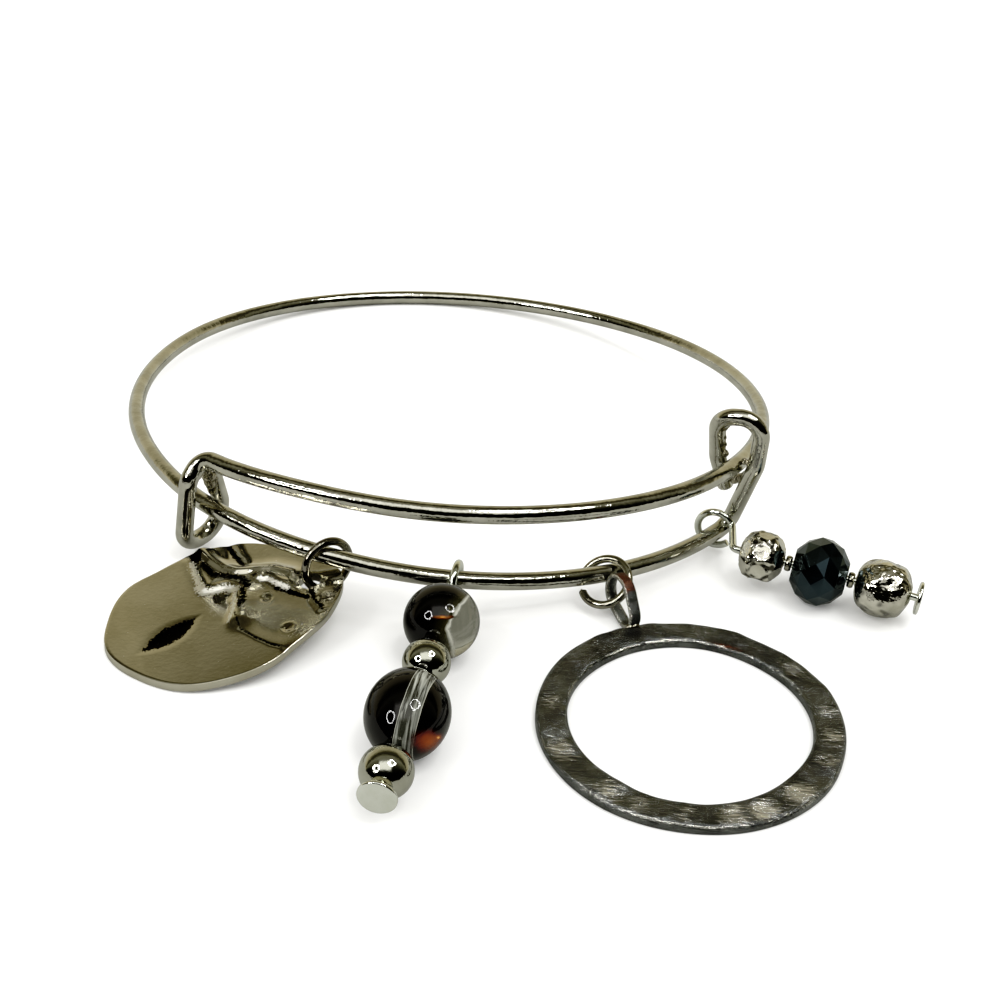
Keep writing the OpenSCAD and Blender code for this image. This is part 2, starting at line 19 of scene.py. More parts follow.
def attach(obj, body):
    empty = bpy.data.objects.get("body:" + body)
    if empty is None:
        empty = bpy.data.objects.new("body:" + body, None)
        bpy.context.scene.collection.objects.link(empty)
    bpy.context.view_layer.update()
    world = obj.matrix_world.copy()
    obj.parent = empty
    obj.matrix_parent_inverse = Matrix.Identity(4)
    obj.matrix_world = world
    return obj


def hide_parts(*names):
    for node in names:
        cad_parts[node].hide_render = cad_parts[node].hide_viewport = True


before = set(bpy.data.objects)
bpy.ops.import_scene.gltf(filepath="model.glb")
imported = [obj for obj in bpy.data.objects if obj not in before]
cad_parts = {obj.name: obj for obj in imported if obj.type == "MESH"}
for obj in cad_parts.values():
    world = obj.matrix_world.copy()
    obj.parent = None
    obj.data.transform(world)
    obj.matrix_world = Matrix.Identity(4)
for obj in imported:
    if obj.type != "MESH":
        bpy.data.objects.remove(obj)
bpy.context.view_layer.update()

LOG = logging.getLogger("charm_bangle")
MM = 0.001
CREASE_ANGLE = math.radians(38)
BEVEL_ANGLE = math.radians(40)
UP = np.array([0.0, 0.0, 1.0])
# A direction that no wire here runs in, from which a section's first corner is worked out.
FIRST_ACROSS = np.array([0.31, 0.17, 0.93])
Point = np.ndarray
Mesh = tuple[np.ndarray, list[tuple[int, ...]]]
Colour = tuple[float, float, float, float]


def unit(v: Point) -> Point:
    """Returns v with a length of one."""
    return v / np.linalg.norm(v)


def out(angle: float) -> Point:
    """Returns the level direction away from the wrist's axis at an angle in degrees."""
    a = math.radians(angle)
    return np.array([math.cos(a), math.sin(a), 0.0])


def along(angle: float) -> Point:
    """Returns the level direction round the wrist at an angle in degrees."""
    a = math.radians(angle)
    return np.array([-math.sin(a), math.cos(a), 0.0])


def smooth(a: float, b: float, c: float, d: float, t: float) -> float:
    """Runs a smooth curve through four equally spaced values.

    Args:
        a, b, c, d: The values.
        t: 0 at b and 1 at c.

    Returns:
        The value at t.
    """
    return b + t * (c - a + t * (2 * a - 5 * b + 4 * c - d + t * (3 * (b - c) + d - a))) / 2


def step_between(low: float, high: float, x: np.ndarray) -> np.ndarray:
    """Returns a smooth step of x from 0 at low to 1 at high."""
    t = np.clip((x - low) / (high - low), 0, 1)
    return t * t * (3 - 2 * t)


def grain(points: np.ndarray, size: float, seed: float = 0.0) -> np.ndarray:
    """Samples a smooth random field.

    Args:
        points: Places in millimetres.
        size: Width of one lump of the field in millimetres.
        seed: Moves the field, so that two pieces differ.

    Returns:
        One value for each point, about -1 to 1.
    """
    shift = Vector((seed, 2.3 * seed, -1.7 * seed))
    return np.array([noise.noise(Vector(p) / size + shift) for p in points])


def bend(a: Point, p: Point, b: Point, r: float, steps: int) -> list[Point]:
    """Rounds the corner at p between a and b.

    Args:
        a: The point before the corner.
        p: The corner.
        b: The point after the corner.
        r: Radius of the rounding.
        steps: Number of steps in the arc.

    Returns:
        The arc's points.
    """
    u, v = unit(a - p), unit(b - p)
    half = math.acos(float(np.clip(u @ v, -1, 1))) / 2
    centre = p + unit(u + v) * r / math.sin(half)
    first = p + u * r / math.tan(half) - centre
    last = p + v * r / math.tan(half) - centre
    arc = math.pi - 2 * half
    points = []
    for i in range(steps + 1):
        t = i / steps
        mix = first * math.sin(arc * (1 - t)) + last * math.sin(arc * t)
        points.append(centre + mix / math.sin(arc))
    return points


def bent(corners: Sequence[tuple[Point, float]], steps: int = 14) -> list[Point]:
    """Runs a path through rounded corners.

    Args:
        corners: Pairs of (point, radius). The first and the last are the path's ends.
        steps: Number of steps in each corner.

    Returns:
        The path's points.
    """
    path = [corners[0][0]]
    for before, here, after in zip(corners, corners[1:], corners[2:]):
        path += bend(before[0], here[0], after[0], here[1], steps)
    return path + [corners[-1][0]]


def sweep(path: Sequence[Point], radii: Sequence[float], sides: int) -> Mesh:
    """Runs a round section along a path without twist, and closes both ends.

    Args:
        path: The points of the centre line.
        radii: The section's radius at each point.
        sides: Number of corners of the section.

    Returns:
        The mesh.
    """
    p = np.array(path)
    d = np.diff(p, axis=0)
    d /= np.linalg.norm(d, axis=1)[:, None]
    t = np.vstack([d[:1], d[1:] + d[:-1], d[-1:]])
    t /= np.linalg.norm(t, axis=1)[:, None]
    v = FIRST_ACROSS
    turn = np.arange(sides) * 2 * math.pi / sides
    rings = []
    for centre, heading, radius in zip(p, t, radii):
        v = unit(v - (v @ heading) * heading)
        w = np.cross(heading, v)
        rings.append(centre + radius * (np.cos(turn)[:, None] * v + np.sin(turn)[:, None] * w))
    return loft(rings)


def loft(rings: Sequence[np.ndarray], closed: bool = False) -> Mesh:
    """Joins rings of equal counts with four-sided faces.

    Args:
        rings: The rings' points.
        closed: Whether the last ring joins the first. Otherwise both ends get a cap.

    Returns:
        The mesh.
    """
    n = len(rings[0])
    verts = np.vstack(rings)
    faces: list[tuple[int, ...]] = []
    spans = len(rings) if closed else len(rings) - 1
    for i in range(spans):
        j = (i + 1) % len(rings)
        for k in range(n):
            m = (k + 1) % n
            faces.append((i * n + k, i * n + m, j * n + m, j * n + k))
    if not closed:
        faces.append(tuple(range(n - 1, -1, -1)))
        faces.append(tuple((len(rings) - 1) * n + k for k in range(n)))
    return verts, faces


def spin(profile: Sequence[tuple[float, float]], turns: int, bore_r: float) -> Mesh:
    """Turns a bead's profile round its axis, with the bore left open.

    Args:
        profile: Pairs of (radius, height) from the bore's lower end to its upper end.
        turns: Number of steps round the axis.
        bore_r: Radius of the bore.

    Returns:
        The mesh, whose axis is Z.
    """
    rings = []
    wall = [(bore_r, profile[-1][1]), (bore_r, profile[0][1])]
    for r, z in list(profile) + wall:
        a = np.arange(turns) * 2 * math.pi / turns
        rings.append(np.stack([r * np.cos(a), r * np.sin(a), np.full(turns, z)], 1))
    return loft(rings, closed=True)


def placed(mesh: Mesh, origin: Point, x: Point, y: Point, z: Point) -> Mesh:
    """Returns a mesh moved to an origin, with the given directions for its axes."""
    verts, faces = mesh
    return origin + verts @ np.array([x, y, z]), faces


def joined(*meshes: Mesh) -> Mesh:
    """Joins meshes.

    Args:
        meshes: The meshes.

    Returns:
        All of them as one mesh.
    """
    verts, faces, start = [], [], 0
    for v, f in meshes:
        verts.append(v)
        faces += [tuple(i + start for i in face) for face in f]
        start += len(v)
    return np.vstack(verts), faces


class Shade(Enum):
    """How a piece's faces are shaded."""

    ROUND = "round"
    CREASED = "creased"
    FLAT = "flat"


def make_piece(
    name: str,
    mesh: Mesh,
    material: bpy.types.Material,
    stands_for: Optional[str] = None,
    shade: Shade = Shade.CREASED,
    bevel: float = 0.0,
    marks: Optional[dict[str, np.ndarray]] = None,
) -> bpy.types.Object:
    """Makes an object of a mesh, in metres, that rides on the bangle.

    Args:
        name: The piece's name.
        mesh: Its points in millimetres and its faces.
        material: Its finish.
        stands_for: The solid that it replaces, if any.
        shade: How its faces are shaded.
        bevel: Width in millimetres by which its sharp edges are rounded.
        marks: Values for each point, by name, that the finish reads.

    Returns:
        The object.
    """
    verts, faces = mesh
    data = bpy.data.meshes.new(name)
    data.from_pydata([tuple(v) for v in verts * MM], [], faces)
    data.validate()
    for key, values in (marks or {}).items():
        layer = data.attributes.new(key, "FLOAT", "POINT")
        layer.data.foreach_set("value", np.asarray(values, np.float32))
    piece = bpy.data.objects.new(name, data)
    bpy.context.scene.collection.objects.link(piece)
    data.materials.append(material)
    for polygon in data.polygons:
        polygon.use_smooth = shade is not Shade.FLAT
    if shade is Shade.CREASED:
        data.set_sharp_from_angle(angle=CREASE_ANGLE)
    if bevel:
        modifier = piece.modifiers.new("worn_edges", "BEVEL")
        modifier.width = bevel * MM
        modifier.segments = 3
        modifier.limit_method = "ANGLE"
        modifier.angle_limit = BEVEL_ANGLE
    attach(piece, "root")
    if stands_for:
        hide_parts(stands_for)
    LOG.info("%s: %d points, %d faces", name, len(verts), len(faces))
    return piece


def to_linear(code: str) -> Colour:
    """Turns an sRGB hex value into a linear colour.

    Args:
        code: The value, such as #8a7f60.

    Returns:
        Linear red, green, blue and alpha.
    """
    parts = [int(code[i : i + 2], 16) / 255 for i in (1, 3, 5)]
    rgb = [c / 12.92 if c <= 0.04045 else ((c + 0.055) / 1.055) ** 2.4 for c in parts]
    return (*rgb, 1.0)


def grey(value: float) -> Colour:
    """Returns a grey as a colour."""
    return (value, value, value, 1.0)


def set_up(
    node: bpy.types.Node, settings: dict[Any, Any], links: dict[Any, bpy.types.NodeSocket]
) -> None:
    """Gives a node its settings and links.

    Args:
        node: The node.
        settings: Values of its properties, or of its inputs by name or number. Its stops are
            the places and colours of a ramp.
        links: The sockets that feed its inputs, by input name or number.
    """
    for key, value in settings.items():
        if key == "stops":
            ramp = node.color_ramp
            while len(ramp.elements) < len(value):
                ramp.elements.new(0.5)
            for element, (place, colour) in zip(ramp.elements, value):
                element.position = place
                element.color = colour
        elif isinstance(key, str) and hasattr(node, key):
            setattr(node, key, value)
        else:
            node.inputs[key].default_value = value
    for key, socket in links.items():
        node.id_data.links.new(socket, node.inputs[key])


def add_node(
    tree: bpy.types.NodeTree,
    kind: str,
    settings: Optional[dict[Any, Any]] = None,
    links: Optional[dict[Any, bpy.types.NodeSocket]] = None,
    gives: Optional[str] = None,
) -> Optional[bpy.types.NodeSocket]:
    """Adds a shader node with its settings and links.

    Args:
        tree: The tree that gets the node.
        kind: Blender's name for the node's type, without ShaderNode in front.
        settings: Its settings, as set_up takes them.
        links: The sockets that feed its inputs, by input name or number.
        gives: The name of the output that is wanted.

    Returns:
        The wanted output, or else the first one in use.
    """
    node = tree.nodes.new("ShaderNode" + kind)
    set_up(node, settings or {}, links or {})
    if gives:
        return node.outputs[gives]
    return next((socket for socket in node.outputs if socket.enabled), None)


def new_finish(
    name: str,
) -> tuple[bpy.types.Material, bpy.types.NodeTree, bpy.types.Node, bpy.types.NodeSocket]:
    """Starts a material.

    Args:
        name: The material's name.

    Returns:
        The material, its tree, its Principled shader and the place in object coordinates.
    """
    material = bpy.data.materials.new(name)
    material.use_nodes = True
    tree = material.node_tree
    place = add_node(tree, "TexCoord", gives="Object")
    return material, tree, tree.nodes["Principled BSDF"], place


@dataclass(frozen=True)
class PlatedMetal:
    """Nickel plate over a cast or drawn base.

    Bright plate mirrors its surroundings, dark in front and pale beside and below. Slow waves in
    it bend the reflections, fine pits break them up, and handling leaves faint dull patches. A
    dark film stays in the hollows of the cast beads.
    """

    name: str
    colour: str
    stain: str
    roughness: float = 0.06
    wave_mm: float = 2.0
    wave: float = 0.05
    pit_mm: float = 0.35
    pit: float = 0.05
    film: str = "#2b2922"
    patch_mm: float = 3.1

    def make(self) -> bpy.types.Material:
        """Builds the material, which reads where a piece is tarnished, if it says so.

        Returns:
            The material.
        """
        material, tree, shader, place = new_finish(self.name)
        patches = add_node(
            tree, "TexNoise",
            {"Scale": 1 / (self.patch_mm * MM), "Detail": 5.0, "Roughness": 0.6},
            {"Vector": place})
        tint = add_node(
            tree, "ValToRGB",
            {"stops": [(0.35, to_linear(self.stain)), (0.6, to_linear(self.colour))]},
            {"Fac": patches})
        mark = add_node(tree, "Attribute", {"attribute_name": "tarnish"}, gives="Fac")
        colour = add_node(
            tree, "Mix", {"data_type": "RGBA", 7: to_linear(self.film)}, {0: mark, 6: tint})
        dull = add_node(
            tree, "MapRange",
            {"From Min": 0.3, "From Max": 0.7,
             "To Min": self.roughness * 1.7, "To Max": self.roughness * 0.6},
            {"Value": patches})
        skin: dict[Any, bpy.types.NodeSocket] = {}
        for size, depth, detail in (
                (self.wave_mm, self.wave, 2.0), (self.pit_mm, self.pit, 3.0)):
            lumps = add_node(
                tree, "TexNoise", {"Scale": 1 / (size * MM), "Detail": detail},
                {"Vector": place})
            skin = {"Normal": add_node(
                tree, "Bump", {"Strength": depth, "Distance": size * MM},
                {"Height": lumps, **skin})}
        set_up(shader, {"Metallic": 1.0}, {"Base Color": colour, "Roughness": dull, **skin})
        return material


@dataclass(frozen=True)
class PressedSheet:
    """Nickel-plated sheet, pressed into folds by hand.

    The plate is a soft olive mirror with a faint orange peel. Where a fold is sharp the plate is
    rougher and glitters, and is painted nearly white as a painted highlight. In the dents and
    along some lines it is painted nearly black as painted shade, where it would mirror something
    dark.
    """

    name: str = "pressed_nickel_sheet"
    plate: str = "#d1cec1"
    warm: str = "#c0bcab"
    tarnish: str = "#14110b"
    crazed: str = "#fbfaf2"
    roughness: float = 0.12
    crazed_roughness: float = 0.38
    patch_mm: float = 5.0
    peel_mm: float = 0.35
    peel: float = 0.018
    craze_mm: float = 0.22
    glitter: float = 0.35

    def make(self) -> bpy.types.Material:
        """Builds the material, which reads where the sheet gets painted shade and where its crests
        get a painted highlight.

        Returns:
            The material.
        """
        material, tree, shader, place = new_finish(self.name)
        patches = add_node(
            tree, "TexNoise",
            {"Scale": 1 / (self.patch_mm * MM), "Detail": 6.0, "Roughness": 0.6},
            {"Vector": place})
        colour = add_node(
            tree, "ValToRGB",
            {"stops": [(0.36, to_linear(self.warm)), (0.62, to_linear(self.plate))]},
            {"Fac": patches})
        rag = add_node(
            tree, "TexNoise",
            {"Scale": 1 / (self.craze_mm * MM), "Detail": 4.0, "Roughness": 0.65},
            {"Vector": place})
        # Painted light: the first mark paints shade nearly black, and the second paints a nearly
        # white highlight on the crests.
        for name, tone, ragged in (("tarnish", self.tarnish, 2.0), ("crazed", self.crazed, 2.2)):
            mark = add_node(tree, "Attribute", {"attribute_name": name}, gives="Fac")
            edge = add_node(
                tree, "Math", {"operation": "MULTIPLY_ADD", 1: ragged}, {0: rag, 2: mark})
            mask = add_node(
                tree, "MapRange",
                {"From Min": ragged / 2 + 0.44, "From Max": ragged / 2 + 0.56}, {"Value": edge})
            colour = add_node(
                tree, "Mix", {"data_type": "RGBA", 7: to_linear(tone)}, {0: mask, 6: colour})
        # The mask is now the crests', which are duller than the rest, sparkle and carry the
        # painted highlight.
        dull = add_node(
            tree, "MapRange", {"To Min": self.roughness, "To Max": self.crazed_roughness},
            {"Value": mask})
        peel = add_node(
            tree, "TexNoise", {"Scale": 1 / (self.peel_mm * MM), "Detail": 3.0},
            {"Vector": place})
        skin = add_node(
            tree, "Bump", {"Strength": self.peel, "Distance": self.peel_mm * MM},
            {"Height": peel})
        deep = add_node(tree, "Math", {"operation": "MULTIPLY", 1: self.glitter}, {0: mask})
        glitter = add_node(
            tree, "Bump", {"Distance": self.craze_mm * MM},
            {"Strength": deep, "Height": rag, "Normal": skin})
        set_up(shader, {"Metallic": 1.0},
               {"Base Color": colour, "Roughness": dull, "Normal": glitter})
        return material


@dataclass(frozen=True)
class BrushedGunmetal:
    """Dark plated metal that was hammered, then brushed by hand.

    The brush leaves short scratches across each other, drawn coarser than real ones so that they
    show. The hammer leaves paler and darker patches, and patches of the top face are painted
    nearly white as a painted sheen. The plate is worn to bright metal along the edges and to
    copper brown in two places.
    """

    name: str = "brushed_gunmetal"
    dark: str = "#565858"
    light: str = "#868886"
    rubbed: str = "#f8f8f6"
    brown: str = "#6f4a3a"
    bright: str = "#f1f0e8"
    roughness: float = 0.21
    worn_roughness: float = 0.12
    scratch_mm: float = 0.10
    scratch_long_mm: float = 2.2
    scratch_deep_mm: float = 0.06
    beat_mm: float = 1.1
    beat_deep_mm: float = 0.35
    patch_mm: float = 2.6
    streaky: float = 1.7

    def make(self) -> bpy.types.Material:
        """Builds the material, which reads where the band is worn, where it has a painted sheen
        and where it is copper brown.

        Returns:
            The material.
        """
        material, tree, shader, place = new_finish(self.name)
        strokes = []
        for turn, length, width in ((-35, self.scratch_long_mm, self.scratch_mm),
                                    (38, 0.5 * self.scratch_long_mm, 1.6 * self.scratch_mm)):
            finely = 1 / (width * MM)
            run = add_node(
                tree, "Mapping",
                {"Rotation": (0.0, 0.0, math.radians(turn)),
                 "Scale": (1 / (length * MM), finely, finely)}, {"Vector": place})
            strokes.append(add_node(
                tree, "TexNoise", {"Scale": 1.0, "Detail": 4.0, "Roughness": 0.7},
                {"Vector": run}))
        both = add_node(tree, "Math", {"operation": "ADD"}, {0: strokes[0], 1: strokes[1]})
        patches = add_node(
            tree, "TexNoise",
            {"Scale": 1 / (self.patch_mm * MM), "Detail": 4.0, "Roughness": 0.6},
            {"Vector": place})
        shade = add_node(tree, "Mix", {"data_type": "FLOAT", 0: 0.5}, {2: patches, 3: strokes[0]})
        colour = add_node(
            tree, "ValToRGB",
            {"stops": [(0.40, to_linear(self.dark)), (0.60, to_linear(self.light))]},
            {"Fac": shade})
        # The painted sheen is nearly white colour painted on the top face.
        for name, tone, start in (("copper", self.brown, 0.4), ("rubbed", self.rubbed, 0.45),
                                  ("worn", self.bright, 0.45)):
            mark = add_node(tree, "Attribute", {"attribute_name": name}, gives="Fac")
            broken = add_node(
                tree, "Math", {"operation": "MULTIPLY_ADD", 1: self.streaky}, {0: both, 2: mark})
            mask = add_node(
                tree, "MapRange",
                {"From Min": self.streaky + start, "From Max": self.streaky + start + 0.6},
                {"Value": broken})
            colour = add_node(
                tree, "Mix", {"data_type": "RGBA", 7: to_linear(tone)}, {0: mask, 6: colour})
        # The mask is now the worn metal's, which is smoother than the rest.
        dull = add_node(
            tree, "MapRange", {"To Min": self.roughness, "To Max": self.worn_roughness},
            {"Value": mask})
        lumps = add_node(
            tree, "TexNoise", {"Scale": 1 / (self.beat_mm * MM), "Detail": 2.0},
            {"Vector": place})
        beaten = add_node(
            tree, "Bump", {"Strength": 0.55, "Distance": self.beat_deep_mm * MM},
            {"Height": lumps})
        brushed = add_node(
            tree, "Bump", {"Strength": 0.8, "Distance": self.scratch_deep_mm * MM},
            {"Height": both, "Normal": beaten})
        set_up(shader, {"Metallic": 1.0},
               {"Base Color": colour, "Roughness": dull, "Normal": brushed})
        return material


@dataclass(frozen=True)
class StreakedGlass:
    """Clear lampworked glass with dark and amber glass fused into it.

    Light passes the clear part and shows the table through it, a pale seam bounds it, a smoky
    veil thickens behind the seam, and the rest is black. Where the dark glass is thin it glows,
    and its brightest spot is a painted glint.
    """

    name: str
    clear: str
    streak: str
    veil: str
    glow: str
    passes: float
    smoulder: str
    dark: str = "#040303"
    painted_glint: str = "#e8a552"
    seam: str = "#b9b9ad"
    swirl_mm: float = 1.6
    streak_mm: float = 0.3
    seam_passes: float = 0.25
    veil_passes: float = 0.45
    roughness: float = 0.02
    ior: float = 1.52

    def make(self) -> bpy.types.Material:
        """Builds the material.

        It reads how far a place is from the clear part (zone), how much it glows (ember), and
        its places across and along the streaks.

        Returns:
            The material.
        """
        material, tree, shader, place = new_finish(self.name)
        zone, ember, across, lengthwise = (
            add_node(tree, "Attribute", {"attribute_name": name}, gives="Fac")
            for name in ("zone", "ember", "across", "lengthwise"))
        swirls = add_node(
            tree, "TexNoise",
            {"Scale": 1 / (self.swirl_mm * MM), "Detail": 4.0, "Distortion": 1.2},
            {"Vector": place})
        edge = add_node(
            tree, "Math", {"operation": "MULTIPLY_ADD", 1: 0.10}, {0: swirls, 2: zone})
        # The edge is below 0.43 in the clear glass, about 0.465 at the seam and above it behind.
        pulled = add_node(tree, "CombineXYZ", None, {"X": across, "Y": lengthwise})
        drawn = add_node(
            tree, "VectorMath",
            {"operation": "MULTIPLY", 1: (1 / self.streak_mm, 0.1 / self.streak_mm, 1.0)},
            {0: pulled})
        streaks = add_node(
            tree, "TexNoise", {"Scale": 1.0, "Detail": 4.0, "Distortion": 0.6},
            {"Vector": drawn})
        clear = add_node(
            tree, "ValToRGB",
            {"stops": [(0.46, to_linear(self.clear)), (0.68, to_linear(self.streak))]},
            {"Fac": streaks})
        body = add_node(
            tree, "ValToRGB",
            {"stops": [(0.465, to_linear(self.seam)), (0.50, to_linear(self.veil)),
                       (0.66, to_linear(self.dark))]},
            {"Fac": edge})
        inside = add_node(
            tree, "MapRange", {"From Min": 0.43, "From Max": 0.455}, {"Value": edge})
        glass = add_node(tree, "Mix", {"data_type": "RGBA"}, {0: inside, 6: clear, 7: body})
        mottled = add_node(
            tree, "Math", {"operation": "MULTIPLY_ADD", 1: 0.5, 2: -0.25}, {0: swirls})
        lit = add_node(
            tree, "Math", {"operation": "ADD", "use_clamp": True}, {0: ember, 1: mottled})
        # The warm ramp runs up to a painted glint at its top.
        warmth = add_node(
            tree, "ValToRGB",
            {"stops": [(0.15, to_linear(self.dark)), (0.45, to_linear(self.smoulder)),
                       (0.85, to_linear(self.glow)), (1.0, to_linear(self.painted_glint))]},
            {"Fac": lit})
        glowing = add_node(
            tree, "MapRange", {"From Min": 0.15, "From Max": 0.4}, {"Value": lit})
        colour = add_node(
            tree, "Mix", {"data_type": "RGBA"}, {0: glowing, 6: glass, 7: warmth})
        opening = add_node(
            tree, "ValToRGB",
            {"stops": [(0.43, grey(self.passes)), (0.455, grey(self.seam_passes)),
                       (0.52, grey(self.veil_passes)), (0.64, grey(0.0))]},
            {"Fac": edge})
        ripples = add_node(
            tree, "Bump", {"Strength": 0.02, "Distance": self.swirl_mm * MM},
            {"Height": swirls})
        set_up(shader, {"Roughness": self.roughness, "IOR": self.ior},
               {"Base Color": colour, "Transmission Weight": opening, "Normal": ripples})
        return material


@dataclass(frozen=True)
class CutBlackGlass:
    """Pressed and fire-polished black glass with a thin steel-blue lustre.

    It is black from above and steel grey where a facet faces the table. The lustre film reflects
    more than bare glass does, and a little blue.
    """

    name: str = "cut_black_glass"
    body: str = "#040506"
    lustre: str = "#12181b"
    shine: str = "#c3dbe6"
    ior: float = 1.95
    roughness: float = 0.03
    scuffed_roughness: float = 0.16
    film_mm: float = 2.2
    film_deep_mm: float = 0.1
    scuff_mm: float = 0.25

    def make(self) -> bpy.types.Material:
        """Builds the material.

        Returns:
            The material.
        """
        material, tree, shader, place = new_finish(self.name)
        film = add_node(
            tree, "TexNoise", {"Scale": 1 / (self.film_mm * MM), "Detail": 3.0},
            {"Vector": place})
        tint = add_node(
            tree, "ValToRGB",
            {"stops": [(0.35, to_linear(self.body)), (0.7, to_linear(self.lustre))]},
            {"Fac": film})
        scuffs = add_node(
            tree, "TexNoise", {"Scale": 1 / (self.scuff_mm * MM), "Detail": 4.0},
            {"Vector": place})
        haze = add_node(
            tree, "MapRange",
            {"From Min": 0.45, "From Max": 0.75,
             "To Min": self.roughness, "To Max": self.scuffed_roughness},
            {"Value": scuffs})
        skin = add_node(
            tree, "Bump", {"Strength": 0.02, "Distance": self.film_deep_mm * MM},
            {"Height": film})
        set_up(shader, {"IOR": self.ior, "Specular Tint": to_linear(self.shine)},
               {"Base Color": tint, "Roughness": haze, "Normal": skin})
        return material


@dataclass(frozen=True)
class Finishes:
    """The finishes of all the pieces."""

    wire: PlatedMetal = PlatedMetal(
        "drawn_nickel_wire", "#cdccc2", "#b4b3a8", 0.06, 2.6, 0.05, 0.3, 0.08)
    disc_ring: PlatedMetal = PlatedMetal("dark_nickel_ring", "#9b988d", "#77746a", 0.08)
    hoop_ring: PlatedMetal = PlatedMetal("drawn_nickel_ring", "#b7b5a8", "#8d8a7c", 0.08)
    disc: PressedSheet = PressedSheet()
    pin: PlatedMetal = PlatedMetal("headed_nickel_pin", "#f2f4ee", "#e2e5dc", 0.08)
    ball: PlatedMetal = PlatedMetal("turned_nickel_ball", "#c4c5ba", "#b2b2a6", 0.07, 3.0, 0.02)
    silver: PlatedMetal = PlatedMetal(
        "cast_silver_bead", "#eceae0", "#c9c7ba", 0.09, 0.9, 0.14, 0.25, 0.10)
    beaten: PlatedMetal = PlatedMetal(
        "beaten_silver_bead", "#e9e7dd", "#c0beb1", 0.10, 1.1, 0.30, 0.25, 0.14)
    solder: PlatedMetal = PlatedMetal(
        "plated_solder", "#c4bfae", "#7d7866", 0.12, 0.7, 0.35, 0.25, 0.5)
    hoop: BrushedGunmetal = BrushedGunmetal()
    round_glass: StreakedGlass = StreakedGlass(
        "smoky_streaked_glass", "#bcbcb2", "#c6c6bb", "#34321f", "#7a4614", 1.0, "#3a1e08")
    oval_glass: StreakedGlass = StreakedGlass(
        "ember_streaked_glass", "#3f4038", "#c9cbc0", "#1c1d18", "#884012", 0.35, "#440f06")
    black: CutBlackGlass = CutBlackGlass()


@dataclass(frozen=True)
class Route:
    """Where the bangle's wire runs, by the angle round the wrist.

    The rows are the angle, the bow out of the round as a share of rail_bow, and the height
    as a share of rail_rise.
    """

    wire_d: float = 1.6
    bangle_r: float = 32.5
    rail_rise: float = 11.0
    rail_bow: float = 1.6
    rows: tuple[tuple[float, float, float], ...] = (
        (-130, 0.60, 0.89), (-110, 0.70, 0.98), (-90, 0.90, 1.00), (-70, 1.00, 0.98),
        (-50, 0.95, 0.91), (-30, 0.70, 0.80), (-10, 0.40, 0.65), (10, 0.15, 0.49),
        (30, 0.00, 0.33), (50, 0.00, 0.18), (70, 0.10, 0.07), (90, 0.20, 0.01),
        (110, 0.20, 0.005), (130, 0.15, 0.05), (150, 0.05, 0.12), (170, -0.20, 0.20),
        (190, -0.25, 0.29), (210, -0.05, 0.38), (230, 0.40, 0.43), (250, 0.60, 0.42),
        (270, 0.40, 0.34), (290, 0.00, 0.23), (310, 0.00, 0.14), (330, 0.50, 0.10),
    )

    def cell(self, k: int, column: int) -> float:
        """Reads a cell of the table, carried on in a straight line past both ends.

        Args:
            k: The row's number.
            column: 1 for the bow and 2 for the height.

        Returns:
            The cell's value.
        """
        rows = self.rows
        if k < 0:
            return 2 * rows[0][column] - rows[1][column]
        if k >= len(rows):
            return 2 * rows[-1][column] - rows[-2][column]
        return rows[k][column]

    def share(self, angle: float, column: int) -> float:
        """Reads the table between its rows.

        Args:
            angle: The angle round the wrist.
            column: 1 for the bow and 2 for the height.

        Returns:
            The column's value at the angle.
        """
        rows = self.rows
        u = (angle - rows[0][0]) / (rows[1][0] - rows[0][0])
        i = max(0, min(len(rows) - 2, math.floor(u)))
        return smooth(*(self.cell(k, column) for k in range(i - 1, i + 3)), u - i)

    def at(self, angle: float) -> Point:
        """Returns the wire's centre at an angle."""
        height = self.wire_d / 2 + self.rail_rise * self.share(angle, 2)
        return out(angle) * (self.bangle_r + self.rail_bow * self.share(angle, 1)) + UP * height

    def heading(self, angle: float) -> Point:
        """Returns the wire's direction at an angle."""
        return unit(self.at(angle + 0.5) - self.at(angle - 0.5))


